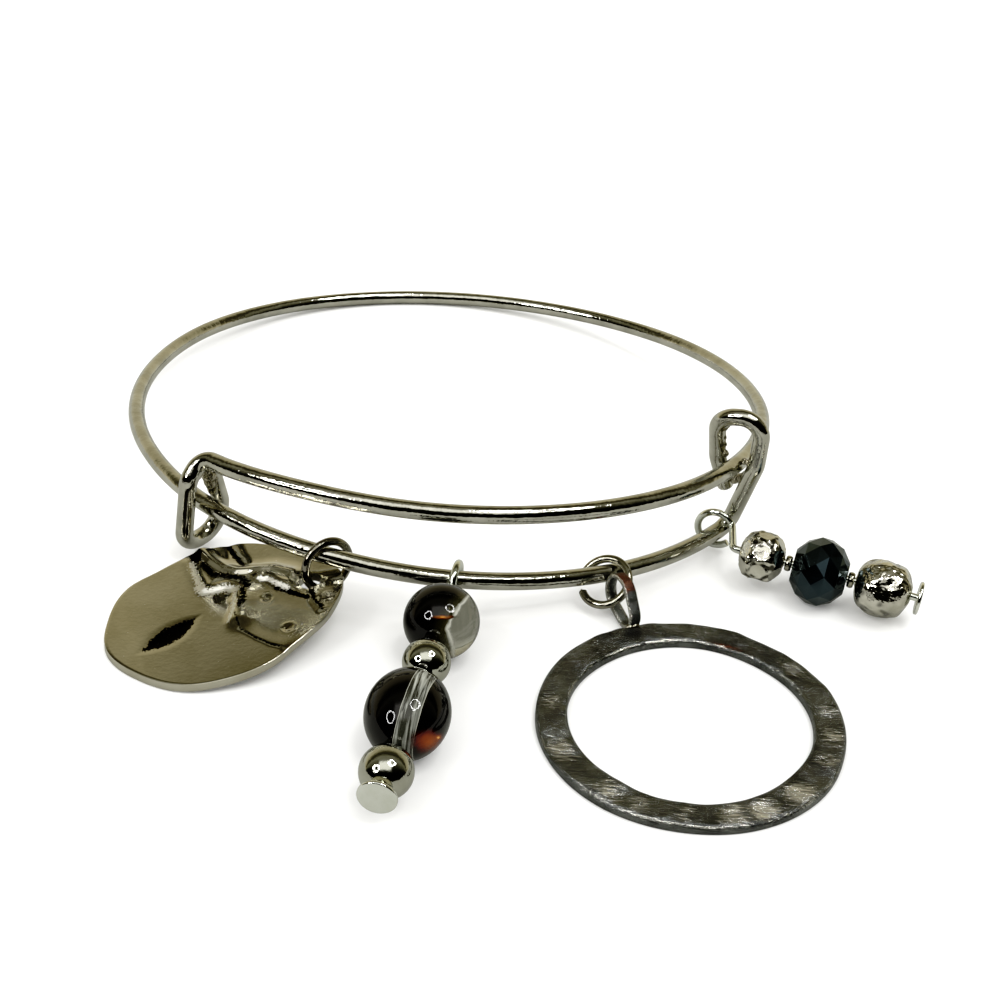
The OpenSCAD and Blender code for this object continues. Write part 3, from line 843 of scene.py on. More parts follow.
@dataclass
class BangleWire:
    """The bangle's one wire, with the wrap at each end and the solder in the wraps.

    A row of grains is how far a grain is out from the rail, along it and up, and its radius.
    """

    route: Route
    finishes: Finishes
    wrap_play: float = 0.5
    wrap_bend: float = 0.6
    left_wrap_drop: float = 4.2
    right_wrap_lift: float = 6.0
    left_wrap: float = -130.0
    right_wrap: float = -34.5
    upper_rail_start: float = -124.0
    lower_rail_end: float = 322.0
    sides: int = 32
    step: float = 0.5
    left_grains: tuple[tuple[float, float, float, float], ...] = (
        (-1.2, 0.0, -1.7, 0.75), (-0.3, 0.1, -1.6, 0.65), (0.9, 0.2, -1.7, 0.6),
        (-0.7, 0.1, -2.4, 0.7), (-1.4, 0.1, -2.7, 0.65), (-0.9, 0.1, -3.3, 0.6),
        (-1.5, 0.0, -3.7, 0.6), (-1.2, 0.0, -4.3, 0.5))
    right_grains: tuple[tuple[float, float, float, float], ...] = (
        (-1.35, -0.1, 0.7, 0.42), (-1.42, -0.4, 1.8, 0.26), (-1.42, -0.75, 2.8, 0.24),
        (-1.40, -1.15, 4.0, 0.36), (-1.1, -1.3, 4.5, 0.34), (1.35, -0.3, 0.8, 0.42),
        (0.8, -0.2, 0.75, 0.32), (1.45, 0.3, -0.8, 0.5), (1.0, 0.6, -1.2, 0.55),
        (0.5, 0.85, -1.7, 0.5), (-0.1, 0.95, -2.1, 0.5))

    def near(self, angle: float, p: Sequence[float]) -> Point:
        """Returns a place out from the rail at an angle, along it, and up."""
        return self.route.at(angle) + out(angle) * p[0] + along(angle) * p[1] + UP * p[2]

    def left_path(self) -> list[Point]:
        """Runs the left wrap round the lower rail.

        Returns:
            The path from its free end to the upper rail.
        """
        d = self.route.wire_d
        leg = d + self.wrap_play
        held = self.left_wrap + 360
        up = self.route.at(self.left_wrap)[2] - self.route.at(held)[2]
        turn = leg * 0.9
        corner = self.wrap_bend + d / 2
        return bent([
            (self.near(held, (-leg / 2, -0.1, up - d)), 0),
            (self.near(held, (-leg, 0, -d / 2)), 3),
            (self.near(held, (-leg, -0.8, -self.left_wrap_drop)), turn),
            (self.near(held, (leg, -0.4, -self.left_wrap_drop)), turn),
            (self.near(held, (leg, 0.7, up - d)), corner),
            (self.route.at(self.left_wrap + 0.8), corner),
            (self.route.at(self.upper_rail_start), 0)])

    def right_path(self) -> list[Point]:
        """Runs the right wrap round the upper rail.

        Returns:
            The path from the lower rail to its free end.
        """
        d = self.route.wire_d
        leg = d + self.wrap_play
        turn = leg * 0.9
        foot = self.route.at(self.lower_rail_end)
        down = foot[2] - self.route.at(self.right_wrap)[2]
        lift = self.right_wrap_lift
        return bent([
            (foot, 0),
            (self.near(self.right_wrap, (-0.3, 1.7, down)), self.wrap_bend + d / 2),
            (self.near(self.right_wrap, (leg, -0.3, d / 2)), 3),
            (self.near(self.right_wrap, (leg, -0.7, lift)), turn),
            (self.near(self.right_wrap, (-leg, -1.6, lift - 0.9)), turn),
            (self.near(self.right_wrap, (-leg, 0.2, 0)), 3),
            (self.near(self.right_wrap, (-1, 1.1, -3.4)), 0)])

    def build(self) -> None:
        """Builds the wire and its solder."""
        turns = np.arange(self.upper_rail_start, self.lower_rail_end - self.step, self.step)
        path = self.left_path()[:-1] + [self.route.at(a) for a in turns] + self.right_path()
        path = eased_ends(path, self.route.wire_d)
        radii = end_radii(len(path), self.route.wire_d / 2, (0.62, 0.88, 0.97))
        make_piece(
            "bangle_wire_bright", sweep(path, radii, self.sides), self.finishes.wire.make(),
            "bangle_wire", Shade.ROUND)
        self.build_solder()

    def build_solder(self) -> None:
        """Builds the lumps of plated solder that close the two wraps."""
        material = self.finishes.solder.make()
        held = self.left_wrap + 360
        up = self.route.at(self.left_wrap)[2] - self.route.at(held)[2]
        for name, angle, top, grains, rough, seed in (
                ("left_wrap_solder", held, up, self.left_grains, 0.20, 3.1),
                ("right_wrap_solder", self.right_wrap, 0.0, self.right_grains, 0.12, 6.4)):
            centres = [self.near(angle, (p[0], p[1], top + p[2])) for p in grains]
            lump = lump_chain(centres, [p[3] for p in grains], rough, seed)
            make_piece(name, lump, material, shade=Shade.ROUND)


def end_radii(count: int, radius: float, shares: Sequence[float]) -> list[float]:
    """Gives a wire its radii.

    Args:
        count: Number of points of the wire's path.
        radius: The wire's radius.
        shares: The radius of the first rings from each end, as shares of the wire's.

    Returns:
        One radius for each point.
    """
    radii = [radius] * count
    for i, share in enumerate(shares):
        radii[i] = radii[-1 - i] = radius * share
    return radii


def eased_ends(path: Sequence[Point], d: float) -> list[Point]:
    """Adds close points at both ends of a path, where the wire's end is rounded off.

    Args:
        path: The path's points.
        d: The wire's diameter.

    Returns:
        The points with the new ones.
    """
    start, end = unit(path[1] - path[0]), unit(path[-2] - path[-1])
    head = [path[0] + start * d * s for s in (0.0, 0.04, 0.1, 0.2)]
    tail = [path[-1] + end * d * s for s in (0.2, 0.1, 0.04, 0.0)]
    return head + list(path[1:-1]) + tail


def lump_chain(
    centres: Sequence[Point], radii: Sequence[float], rough: float, seed: float
) -> Mesh:
    """Builds rough grains of solder that melt into each other.

    Args:
        centres: The grains' middles.
        radii: Their radii.
        rough: How far their skin steps in and out, in millimetres.
        seed: Makes one lump differ from another.

    Returns:
        The mesh.
    """
    turns, rows, lump_mm = 30, 18, 0.45
    t = np.arange(turns) * 2 * math.pi / turns
    ball, faces = loft([
        np.stack([math.sin(a) * np.cos(t), math.sin(a) * np.sin(t),
                  np.full(turns, -math.cos(a))], 1)
        for a in (math.pi * i / rows for i in range(1, rows))])
    parts = []
    for k, (centre, radius) in enumerate(zip(centres, radii)):
        skin = grain(ball * radius + centre, lump_mm, seed + k)
        parts.append((centre + ball * (radius + rough * skin)[:, None], faces))
    return joined(*parts)


@dataclass(frozen=True)
class JumpRing:
    """A jump ring that hangs on the lower rail.

    It turns and leans away from the rail's own direction. On its round, seat is where the rail
    lies, and end_clock is where the ring is cut.
    """

    route: Route
    rail_at: float
    turn: float
    lean: float
    seat: float
    end_clock: float
    gap: float
    wire_d: float = 0.75
    inner_d: float = 3.75
    clearance: float = 0.18
    sides: int = 24
    steps: int = 110

    @property
    def radius(self) -> float:
        """Radius of the ring's centre line."""
        return (self.inner_d + self.wire_d) / 2

    def axes(self) -> tuple[Point, Point, Point]:
        """Works out how the ring leans.

        Returns:
            Its level line, its upward line and its axis.
        """
        heading = self.route.heading(self.rail_at)
        a = math.atan2(heading[1], heading[0]) + math.radians(self.turn)
        e = math.radians(self.lean)
        axis = np.array([math.cos(a) * math.cos(e), math.sin(a) * math.cos(e), math.sin(e)])
        level = unit(np.cross(UP, axis))
        return level, np.cross(axis, level), axis

    def direction(self, clock: float) -> Point:
        """Turns a clock angle into a direction.

        Args:
            clock: The angle round the ring from its level line, in degrees.

        Returns:
            The direction from the ring's centre.
        """
        level, rise, _ = self.axes()
        c = math.radians(clock)
        return level * math.cos(c) + rise * math.sin(c)

    def centre(self) -> Point:
        """Returns the ring's centre."""
        reach = self.inner_d / 2 - self.route.wire_d / 2 - self.clearance
        return self.route.at(self.rail_at) - self.direction(self.seat) * reach

    def point(self, clock: float) -> Point:
        """Returns a point of the ring's centre line."""
        return self.centre() + self.direction(clock) * self.radius

    def mesh(self) -> Mesh:
        """Builds the ring, cut at its two ends.

        Returns:
            The mesh.
        """
        opening = 2 * math.degrees(math.asin((self.gap + self.wire_d) / 2 / self.radius))
        clocks = np.linspace(
            self.end_clock + opening / 2, self.end_clock + 360 - opening / 2, self.steps)
        path = eased_ends([self.point(c) for c in clocks], self.wire_d)
        return sweep(path, end_radii(len(path), self.wire_d / 2, (0.86, 0.97)), self.sides)


@dataclass(frozen=True)
class Crease:
    """A fold pressed into the sheet along a line of flat places, in millimetres.

    The sheet rises to its crest within near on the right of the line and sinks again within far
    on the left.
    """

    line: tuple[tuple[float, float], ...]
    height: float
    near: float
    far: float

    def away(self, flat: np.ndarray) -> tuple[np.ndarray, np.ndarray]:
        """Measures flat places against the line.

        Args:
            flat: The places.

        Returns:
            Their distances from the line, and 1 for a place on its left, 0 for one on its right
            and a share between them beyond its ends.
        """
        best = np.full(len(flat), np.inf)
        left = np.zeros(len(flat))
        line = np.array(self.line)
        for k, (a, b) in enumerate(zip(line, line[1:])):
            t = ((flat - a) @ (b - a)) / ((b - a) @ (b - a))
            offset = flat - a - np.clip(t, 0, 1)[:, None] * (b - a)
            distance = np.linalg.norm(offset, axis=1)
            cross = (b - a)[0] * offset[:, 1] - (b - a)[1] * offset[:, 0]
            sine = cross / np.maximum(distance * np.linalg.norm(b - a), 1e-9)
            past = (t < 0) & (k == 0) | (t > 1) & (k == len(line) - 2)
            side = np.where(past, 0.5 + 0.5 * sine, sine > 0)
            left = np.where(distance < best, side, left)
            best = np.minimum(best, distance)
        return best, left

    def lift(self, flat: np.ndarray) -> np.ndarray:
        """Measures the fold.

        Args:
            flat: The flat places.

        Returns:
            How far the fold lifts the sheet at each.
        """
        distance, left = self.away(flat)
        width = self.near + (self.far - self.near) * left
        return self.height * np.exp(-((distance / width) ** 2))


@dataclass
class WavyDisc:
    """A thin plated disc with a wavy rim, a dent, pressed folds and a hole for its ring.

    The painted shade (nearly black) and the painted highlight on the crests (nearly white, and
    rougher) run along lines as the folds do, with a strength for their height.
    """

    ring: JumpRing
    finishes: Finishes
    radius: float = 10.0
    thick: float = 0.8
    hole_d: float = 1.9
    hole_out: float = 7.4
    hole_turn: float = 23.0
    hole_clock: float = 216.0
    flat_share: float = 0.8
    lift_power: float = 1.6
    edge: float = 0.18
    turns: int = 420
    rows: int = 110
    rim: tuple[tuple[float, float], ...] = (
        (-150, 1.04), (-125, 0.97), (-105, 0.92), (-80, 0.84), (-55, 0.81), (-30, 0.81),
        (-5, 0.92), (20, 1.01), (45, 0.91), (70, 0.90), (95, 0.94), (120, 0.94),
        (140, 0.94), (158, 1.00), (185, 1.00), (210, 1.04))
    creases: tuple[Crease, ...] = (
        Crease(((-4.4, 7.2), (-3.3, 4.9), (-2.4, 3.2), (-1.5, 3.3), (-0.6, 3.7), (0.5, 3.3),
                (0.9, 1.0), (0.8, -0.9)), 0.27, 0.50, 1.4),
        Crease(((-4.0, 8.8), (-2.5, 6.9), (-1.1, 5.6), (0.0, 5.1), (1.1, 5.1), (3.2, 5.0),
                (4.9, 4.2), (6.0, 3.2)), 0.42, 0.42, 0.8),
        Crease(((2.2, 4.3), (3.1, 4.0), (4.1, 3.2), (5.2, 2.5)), 0.36, 0.45, 0.8),
        Crease(((0.5, 1.0), (0.8, 0.1), (1.4, -2.2), (3.1, -3.6), (4.4, -4.5), (5.3, -4.9)),
               0.13, 0.16, 2.2),
        Crease(((-1.4, 9.3), (-0.4, 7.6), (0.5, 6.2)), -0.14, 0.5, 0.5),
        Crease(((6.9, 1.4), (7.2, 0.4), (8.0, -0.9)), 0.16, 0.25, 0.5))
    dimples: tuple[tuple[float, float], ...] = ((3.2, 1.3), (5.6, -2.8), (8.6, 0.5))
    dent_at: tuple[float, float] = (-4.33, -2.72)
    dent_turn: float = 49.7
    dent_l: float = 5.8
    dent_w: float = 2.1
    dent_depth: float = 0.06
    dimple_r: float = 0.4
    dimple_depth: float = 0.07
    dimple_lip: float = 0.02
    calm_w: float = 1.2
    # Painted shade: lines along which the top face is painted nearly black, each with its strength
    # for height.
    painted_shade_lines: tuple[Crease, ...] = (
        Crease(((-4.9, 8.1), (-4.0, 7.9), (-4.0, 6.8)), 1.0, 0.55, 0.55),
        Crease(((-1.3, 9.2), (-0.5, 7.6), (0.4, 6.2)), 0.85, 0.32, 0.32),
        Crease(((-3.2, 6.4), (-2.0, 5.0), (-0.6, 4.5), (0.7, 4.1), (1.2, 3.0)), 0.75, 0.5, 0.5),
        Crease(((3.9, 2.5), (5.2, 1.8), (6.8, 0.8)), 0.95, 0.30, 0.30),
        Crease(((1.0, 2.6), (1.2, 1.2), (1.1, 0.4)), 0.7, 0.45, 0.45),
        Crease(((0.7, -0.4), (1.5, -2.4), (3.1, -3.7), (4.4, -4.6), (5.3, -5.0)), 0.8, 0.09, 0.09),
        Crease(((2.3, 5.3), (3.8, 5.0), (5.0, 4.4), (6.0, 3.5)), 0.6, 0.2, 0.2),
        Crease(((7.1, 1.3), (7.4, 0.3), (8.2, -0.9)), 0.7, 0.2, 0.35))
    # Painted highlight: crest lines whose top face is painted nearly white, and made rougher, each
    # with its strength for height.
    crazed: tuple[Crease, ...] = (
        Crease(((-4.2, 6.6), (-3.5, 4.8), (-2.9, 3.6)), 0.78, 0.40, 0.36),
        Crease(((-3.0, 3.4), (-2.4, 2.6), (-1.6, 2.75), (-0.8, 3.1), (0.2, 2.7)), 0.95, 0.5, 0.5),
        Crease(((0.4, 2.5), (0.45, 0.6), (0.4, -1.3)), 0.72, 0.28, 0.24),
        Crease(((2.2, 3.9), (3.1, 3.6), (4.0, 2.85), (4.9, 2.2)), 0.82, 0.27, 0.22))

    def rim_share(self, angle: float) -> float:
        """Reads the rim's table between its rows.

        Args:
            angle: The angle round the disc, in degrees.

        Returns:
            The rim's radius there as a share of the disc's.
        """
        rim, n = self.rim, len(self.rim) - 1
        i = max(k for k in range(n) if rim[k][0] <= angle + 1e-9)
        t = (angle - rim[i][0]) / (rim[i + 1][0] - rim[i][0])
        before = rim[(i + n - 1) % n][1]
        after = rim[1][1] if i + 1 == n else rim[i + 2][1]
        return smooth(before, rim[i][1], rim[i + 1][1], after, t)

    def height(self, flat: np.ndarray) -> np.ndarray:
        """Lifts the sheet towards its hole and into its folds.

        Args:
            flat: The flat places.

        Returns:
            The height of the sheet's middle over each.
        """
        aim = math.radians(self.hole_turn)
        towards = np.array([math.cos(aim), math.sin(aim)])
        lift = self.ring.point(self.hole_clock)[2] - self.thick / 2
        low = self.flat_share * self.radius
        u = (flat @ towards + low) / (self.hole_out + low)
        rise = lift * np.maximum(0, u) ** self.lift_power
        by_hole = np.linalg.norm(flat - self.hole_out * towards, axis=1)
        calm = step_between(self.hole_d / 2, self.hole_d / 2 + self.calm_w, by_hole)
        folds = sum(crease.lift(flat) for crease in self.creases)
        # The folds fade out where the sheet lies on the ground.
        return self.thick / 2 + rise + calm * np.clip(rise * 3, 0, 1) * folds

    def in_dent(self, flat: np.ndarray) -> np.ndarray:
        """Measures flat places against the spindle-shaped dent.

        Args:
            flat: The flat places.

        Returns:
            1 in the dent's middle, 0.5 at its edge and 0 well beyond.
        """
        turn = math.radians(self.dent_turn)
        length = np.array([math.cos(turn), math.sin(turn)])
        offset = flat - np.array(self.dent_at)
        far = np.abs(offset @ length) / (self.dent_l / 2)
        side = np.abs(offset @ np.array([-length[1], length[0]])) / (self.dent_w / 2)
        return np.clip(1 - (side + far ** 2) / 2, 0, 1)

    def pits(self, flat: np.ndarray) -> np.ndarray:
        """Sinks the top face at the dent and the dimples, each of which has a raised lip.

        Args:
            flat: The flat places.

        Returns:
            How far the face is sunk at each.
        """
        depth = self.dent_depth * step_between(0.2, 0.9, self.in_dent(flat))
        for middle in self.dimples:
            away = np.linalg.norm(flat - np.array(middle), axis=1) / self.dimple_r
            depth += self.dimple_depth * np.exp(-(away ** 2))
            depth -= self.dimple_lip * np.exp(-((2 * away - 3) ** 2))
        return depth

    def darkness(self, flat: np.ndarray) -> np.ndarray:
        """Measures the painted shade along the lines, in the dent and in the dimples.

        Args:
            flat: The flat places.

        Returns:
            How dark the plate is at each.
        """
        dark = np.max([crease.lift(flat) for crease in self.painted_shade_lines], axis=0)
        # The dent and the dimples get painted shade too.
        dark = np.maximum(dark, 1.25 * step_between(0.30, 0.85, self.in_dent(flat)))
        for middle in self.dimples:
            away = np.linalg.norm(flat - np.array(middle), axis=1)
            dark = np.maximum(dark, 0.50 * np.exp(-((away / 0.5) ** 2)))
        return dark

    def mesh(self) -> tuple[Mesh, dict[str, np.ndarray]]:
        """Builds the sheet with its hole, as rings of points from the hole to the rim.

        Returns:
            The mesh, and for each point its painted shade and the painted highlight of its crest.
        """
        aim = math.radians(self.hole_turn)
        hole = self.hole_out * np.array([math.cos(aim), math.sin(aim)])
        angles = np.radians(-150 + np.arange(self.turns) * 360 / self.turns)
        reach = np.array([self.radius * self.rim_share(a) for a in np.degrees(angles)])
        rim = reach[:, None] * np.stack([np.cos(angles), np.sin(angles)], 1)
        bearing = (rim - hole) / np.linalg.norm(rim - hole, axis=1)[:, None]
        inner = hole + bearing * self.hole_d / 2
        shift = self.ring.point(self.hole_clock)[:2] - hole
        half = self.thick / 2
        inset = self.edge * self.thick
        lip = bearing * inset
        shares = np.linspace(0, 1, self.rows) ** 1.15
        top = [inner + (rim - lip - inner) * s for s in shares]
        under = [inner + (rim - lip - inner) * s for s in shares[::-3]]
        layers = [(flat, half, True) for flat in top]
        layers += [(rim - lip * 0.3, half - inset * 0.3, False), (rim, half - inset, False),
                   (rim, inset - half, False), (rim - lip * 0.3, inset * 0.3 - half, False)]
        layers += [(flat, -half, False) for flat in under]
        rings, tarnish, crazed = [], [], []
        for flat, side, above in layers:
            sunk = self.pits(flat) if above else 0.0
            rings.append(np.column_stack([flat + shift, self.height(flat) + side - sunk]))
            # The painted highlight on the crests and the painted shade go on the top face only.
            pale = np.max([crease.lift(flat) for crease in self.crazed], axis=0)
            tarnish.append(self.darkness(flat) * above)
            crazed.append(pale * above)
        marks = {"tarnish": np.concatenate(tarnish), "crazed": np.concatenate(crazed)}
        return loft(rings, closed=True), marks

    def build(self) -> None:
        """Builds the disc."""
        sheet, marks = self.mesh()
        make_piece(
            "wavy_disc_sheet", sheet, self.finishes.disc.make(), "wavy_disc",
            marks=marks)


@dataclass
class HammeredHoop:
    """A flat hammered hoop with a strap bail soldered on its rim.

    A row of beats is how deep the hammer's marks are, how wide, and a seed.
    """

    ring: JumpRing
    finishes: Finishes
    radius: float = 12.75
    band: float = 2.75
    thick: float = 1.0
    oval: float = 0.45
    long_turn: float = 105.0
    turn: float = 109.4
    seat: float = -0.65
    swing: float = 6.8
    rise: float = 34.5
    bail_l: float = 5.2
    bail_gap: float = 3.2
    bail_t: float = 0.4
    bail_w: float = 1.05
    bail_base_r: float = 1.47
    bail_clock: float = 189.2
    bail_pass: float = 0.91
    solder_out: float = 1.2
    solder_up: float = 0.75
    solder_half: float = 0.25
    steps: int = 540
    beats: tuple[tuple[float, float, float], ...] = ((0.34, 3.2, 4.0), (0.13, 1.5, 9.0))
    beat_sunk: float = 0.14
    beat_lip: float = 0.02
    worn_inside: tuple[tuple[float, float, float], ...] = (
        (355.0, 62.0, 1.0), (60.0, 22.0, 0.8), (285.0, 30.0, 0.7), (180.0, 60.0, 0.35))
    worn_outside: tuple[tuple[float, float, float], ...] = (
        (150.0, 55.0, 1.0), (205.0, 30.0, 0.9), (90.0, 20.0, 0.6), (255.0, 30.0, 0.5))
    # Painted sheen: places round the hoop where the top face is painted nearly white, as (angle,
    # half width, strength).
    rubbed: tuple[tuple[float, float, float], ...] = (
        (171.0, 7.0, 0.9), (184.0, 8.0, 1.0), (203.0, 8.0, 1.0), (227.0, 6.0, 0.6),
        (243.0, 7.0, 0.7), (258.0, 7.0, 0.5), (286.0, 7.0, 0.7), (94.0, 8.0, 0.75),
        (67.0, 6.0, 0.6), (122.0, 7.0, 0.75), (134.0, 5.0, 0.6), (152.0, 5.0, 0.6),
        (330.0, 6.0, 0.4), (24.0, 5.0, 0.35))
    copper: tuple[tuple[float, float, float], ...] = ((317.0, 12.0, 0.9), (200.0, 3.0, 0.35))
    edge: tuple[tuple[float, float, float], ...] = (
        (0, 0.00, 0.00), (30, 0.02, -0.02), (60, -0.03, 0.02), (90, 0.02, 0.03),
        (120, 0.03, -0.02), (150, -0.02, 0.02), (180, 0.02, 0.03), (210, 0.03, -0.03),
        (240, -0.02, 0.02), (270, 0.02, 0.02), (300, -0.03, -0.03), (330, 0.03, 0.02),
        (360, 0.00, 0.00))

    def edge_share(self, angle: float, column: int) -> float:
        """Reads the hammered edges' table between its rows.

        Args:
            angle: The angle round the hoop, in degrees.
            column: 1 for the outer edge and 2 for the inner one.

        Returns:
            The edge's step outwards there, as a share of the band.
        """
        n = len(self.edge) - 1
        u = angle / self.edge[1][0]
        i = math.floor(u) % n
        near = (self.edge[k % n][column] for k in (i - 1, i, i + 1, i + 2))
        return smooth(*near, u - math.floor(u))

    def bail_axes(self) -> tuple[Point, Point, Point, Point]:
        """Works out where the bail stands.

        Returns:
            Its base, the directions of its length and its upward line, and its width's.
        """
        level = out(self.turn + self.swing)
        r = math.radians(self.rise)
        length = level * math.cos(r) + UP * math.sin(r)
        rise = UP * math.cos(r) - level * math.sin(r)
        base = self.ring.point(self.bail_clock) - length * self.bail_reach * self.bail_pass
        return base, length, rise, np.cross(length, rise)

    @property
    def bail_far_r(self) -> float:
        """Radius of the bail's far end."""
        return self.bail_gap / 2 + self.bail_t

    @property
    def bail_reach(self) -> float:
        """Distance between the middles of the bail's two ends."""
        return self.bail_l - self.bail_base_r - self.bail_far_r

    def middle(self) -> Point:
        """Returns the hoop's middle on the ground."""
        base = self.bail_axes()[0]
        return np.array([base[0], base[1], 0]) - out(self.turn) * (self.radius - self.seat)

    def marked(self, angle: float, places: Sequence[tuple[float, float, float]]) -> float:
        """Measures an angle against marked places round the hoop.

        Args:
            angle: The angle in degrees.
            places: Rows of (angle, half width, strength).

        Returns:
            How strongly they show at the angle.
        """
        return max(strength * math.exp(-((((angle - at + 180) % 360 - 180) / half) ** 2))
                   for at, half, strength in places)

    def mesh(self) -> tuple[Mesh, dict[str, np.ndarray]]:
        """Builds the band.

        Its section is a row of (place across the band, height), both as shares.

        Returns:
            The mesh, and for each point how far it is worn, how strong its painted sheen is, and
            how far it is copper brown.
        """
        steps = self.steps
        inner = [(0.0, 0.16), (0.0, 0.62), (0.02, 0.78), (0.055, 0.91), (0.105, 0.98)]
        outer = [(0.9, 0.98), (0.945, 0.91), (0.98, 0.78), (1.0, 0.62), (1.0, 0.16), (0.97, 0.0)]
        under = [(s, 0.0) for s in np.linspace(0.9, 0.1, 9)] + [(0.03, 0.0)]
        profile = inner + [(s, 1.0) for s in np.linspace(0.15, 0.86, 22)] + outer + under
        across = np.array([s for s, _ in profile])
        up = np.array([h for _, h in profile])
        rings = []
        marks: dict[str, list[np.ndarray]] = {"worn": [], "rubbed": [], "copper": []}
        for k in range(steps):
            a = 360 * k / steps
            stretch = self.oval * math.cos(math.radians(2 * (a - self.long_turn)))
            far = self.radius + stretch + self.band * self.edge_share(a, 1)
            near = self.radius - self.band + stretch + self.band * self.edge_share(a, 2)
            reach = near + (far - near) * across
            rings.append(out(a + self.turn) * reach[:, None] + UP * self.thick * up[:, None])
            inside = np.exp(-(((across - 0.05) / 0.05) ** 2)) * self.marked(a, self.worn_inside)
            outside = np.exp(-(((across - 0.96) / 0.04) ** 2)) * self.marked(a, self.worn_outside)
            marks["worn"].append(np.where(up > 0.5, inside + outside, 0.0))
            # The painted sheen lies across the middle of the top face.
            lens = np.exp(-(((across - 0.55) / 0.42) ** 4))
            marks["rubbed"].append(lens * (up > 0.9) * self.marked(a, self.rubbed))
            marks["copper"].append(
                np.exp(-(((across - 0.12) / 0.12) ** 2)) * self.marked(a, self.copper))
        verts, faces = loft(rings, closed=True)
        level = verts * np.array([1, 1, 0])
        beat = sum(depth * grain(level, size, seed) for depth, size, seed in self.beats)
        tops = np.tile(step_between(0.6, 1.0, up), steps)
        verts[:, 2] += tops * np.minimum(beat - self.beat_sunk, self.beat_lip)
        values = {key: np.concatenate(rows) for key, rows in marks.items()}
        values["worn"] *= np.clip(0.9 + 0.8 * grain(verts, 1.6, 2.0), 0, 1)
        return (verts + self.middle(), faces), values

    def bail_mesh(self) -> tuple[Mesh, dict[str, np.ndarray]]:
        """Builds the bail's strap, a closed loop with rounded edges.

        Returns:
            The mesh, and for each point how far it is worn, how strong its painted sheen is, and
            how far it is copper brown.
        """
        base, length, rise, across = self.bail_axes()
        near, far, reach = self.bail_base_r, self.bail_far_r, self.bail_reach
        lean = math.acos((near - far) / reach)
        loop = []
        for centre, radius, first, last, steps in (
                (0.0, near, lean, 2 * math.pi - lean, 50), (reach, far, -lean, lean, 60)):
            for a in np.linspace(first, last, steps):
                normal = np.array([math.cos(a), math.sin(a)])
                loop.append((np.array([centre, 0.0]) + radius * normal, normal))
        t, w = self.bail_t, self.bail_w / 2
        round_off = [
            (0.0, -w * 0.72), (-0.02, -w * 0.88), (-0.08, -w), (-t + 0.06, -w),
            (-t, -w * 0.9), (-t, 0.0), (-t, w * 0.9), (-t + 0.06, w), (-0.08, w),
            (-0.02, w * 0.88), (0.0, w * 0.72), (0.0, 0.0)]
        depth, side = np.array(round_off).T
        rings = []
        for place, normal in loop:
            flat = place + depth[:, None] * normal
            rings.append(base + flat[:, :1] * length + flat[:, 1:] * rise
                         + side[:, None] * across)
        worn = np.where(abs(side) > w * 0.8, 0.8, 0.08)
        brown = [0.9 * (depth > -0.05) * (88 < k < 108) for k in range(len(rings))]
        marks = {"worn": np.tile(worn, len(rings)), "copper": np.concatenate(brown),
                 "rubbed": np.zeros(len(rings) * len(side))}
        return loft(rings, closed=True), marks

    def build(self) -> None:
        """Builds the hoop, its bail and the solder between them."""
        material = self.finishes.hoop.make()
        band, marks = self.mesh()
        strap, strap_marks = self.bail_mesh()
        both = joined(band, strap)
        joint = {k: np.concatenate([marks[k], strap_marks[k]]) for k in marks}
        make_piece(
            "hammered_hoop_band", both, material, "hammered_hoop",
            Shade.ROUND, marks=joint)
        base, _, _, across = self.bail_axes()
        foot = base - UP * (base[2] - self.solder_up) - out(self.turn) * self.solder_out
        aside = across * self.solder_half
        make_piece(
            "bail_solder", lump_chain([foot + aside, foot - aside], (0.5, 0.45), 0.06, 8.0),
            self.finishes.hoop_ring.make(), shade=Shade.ROUND)


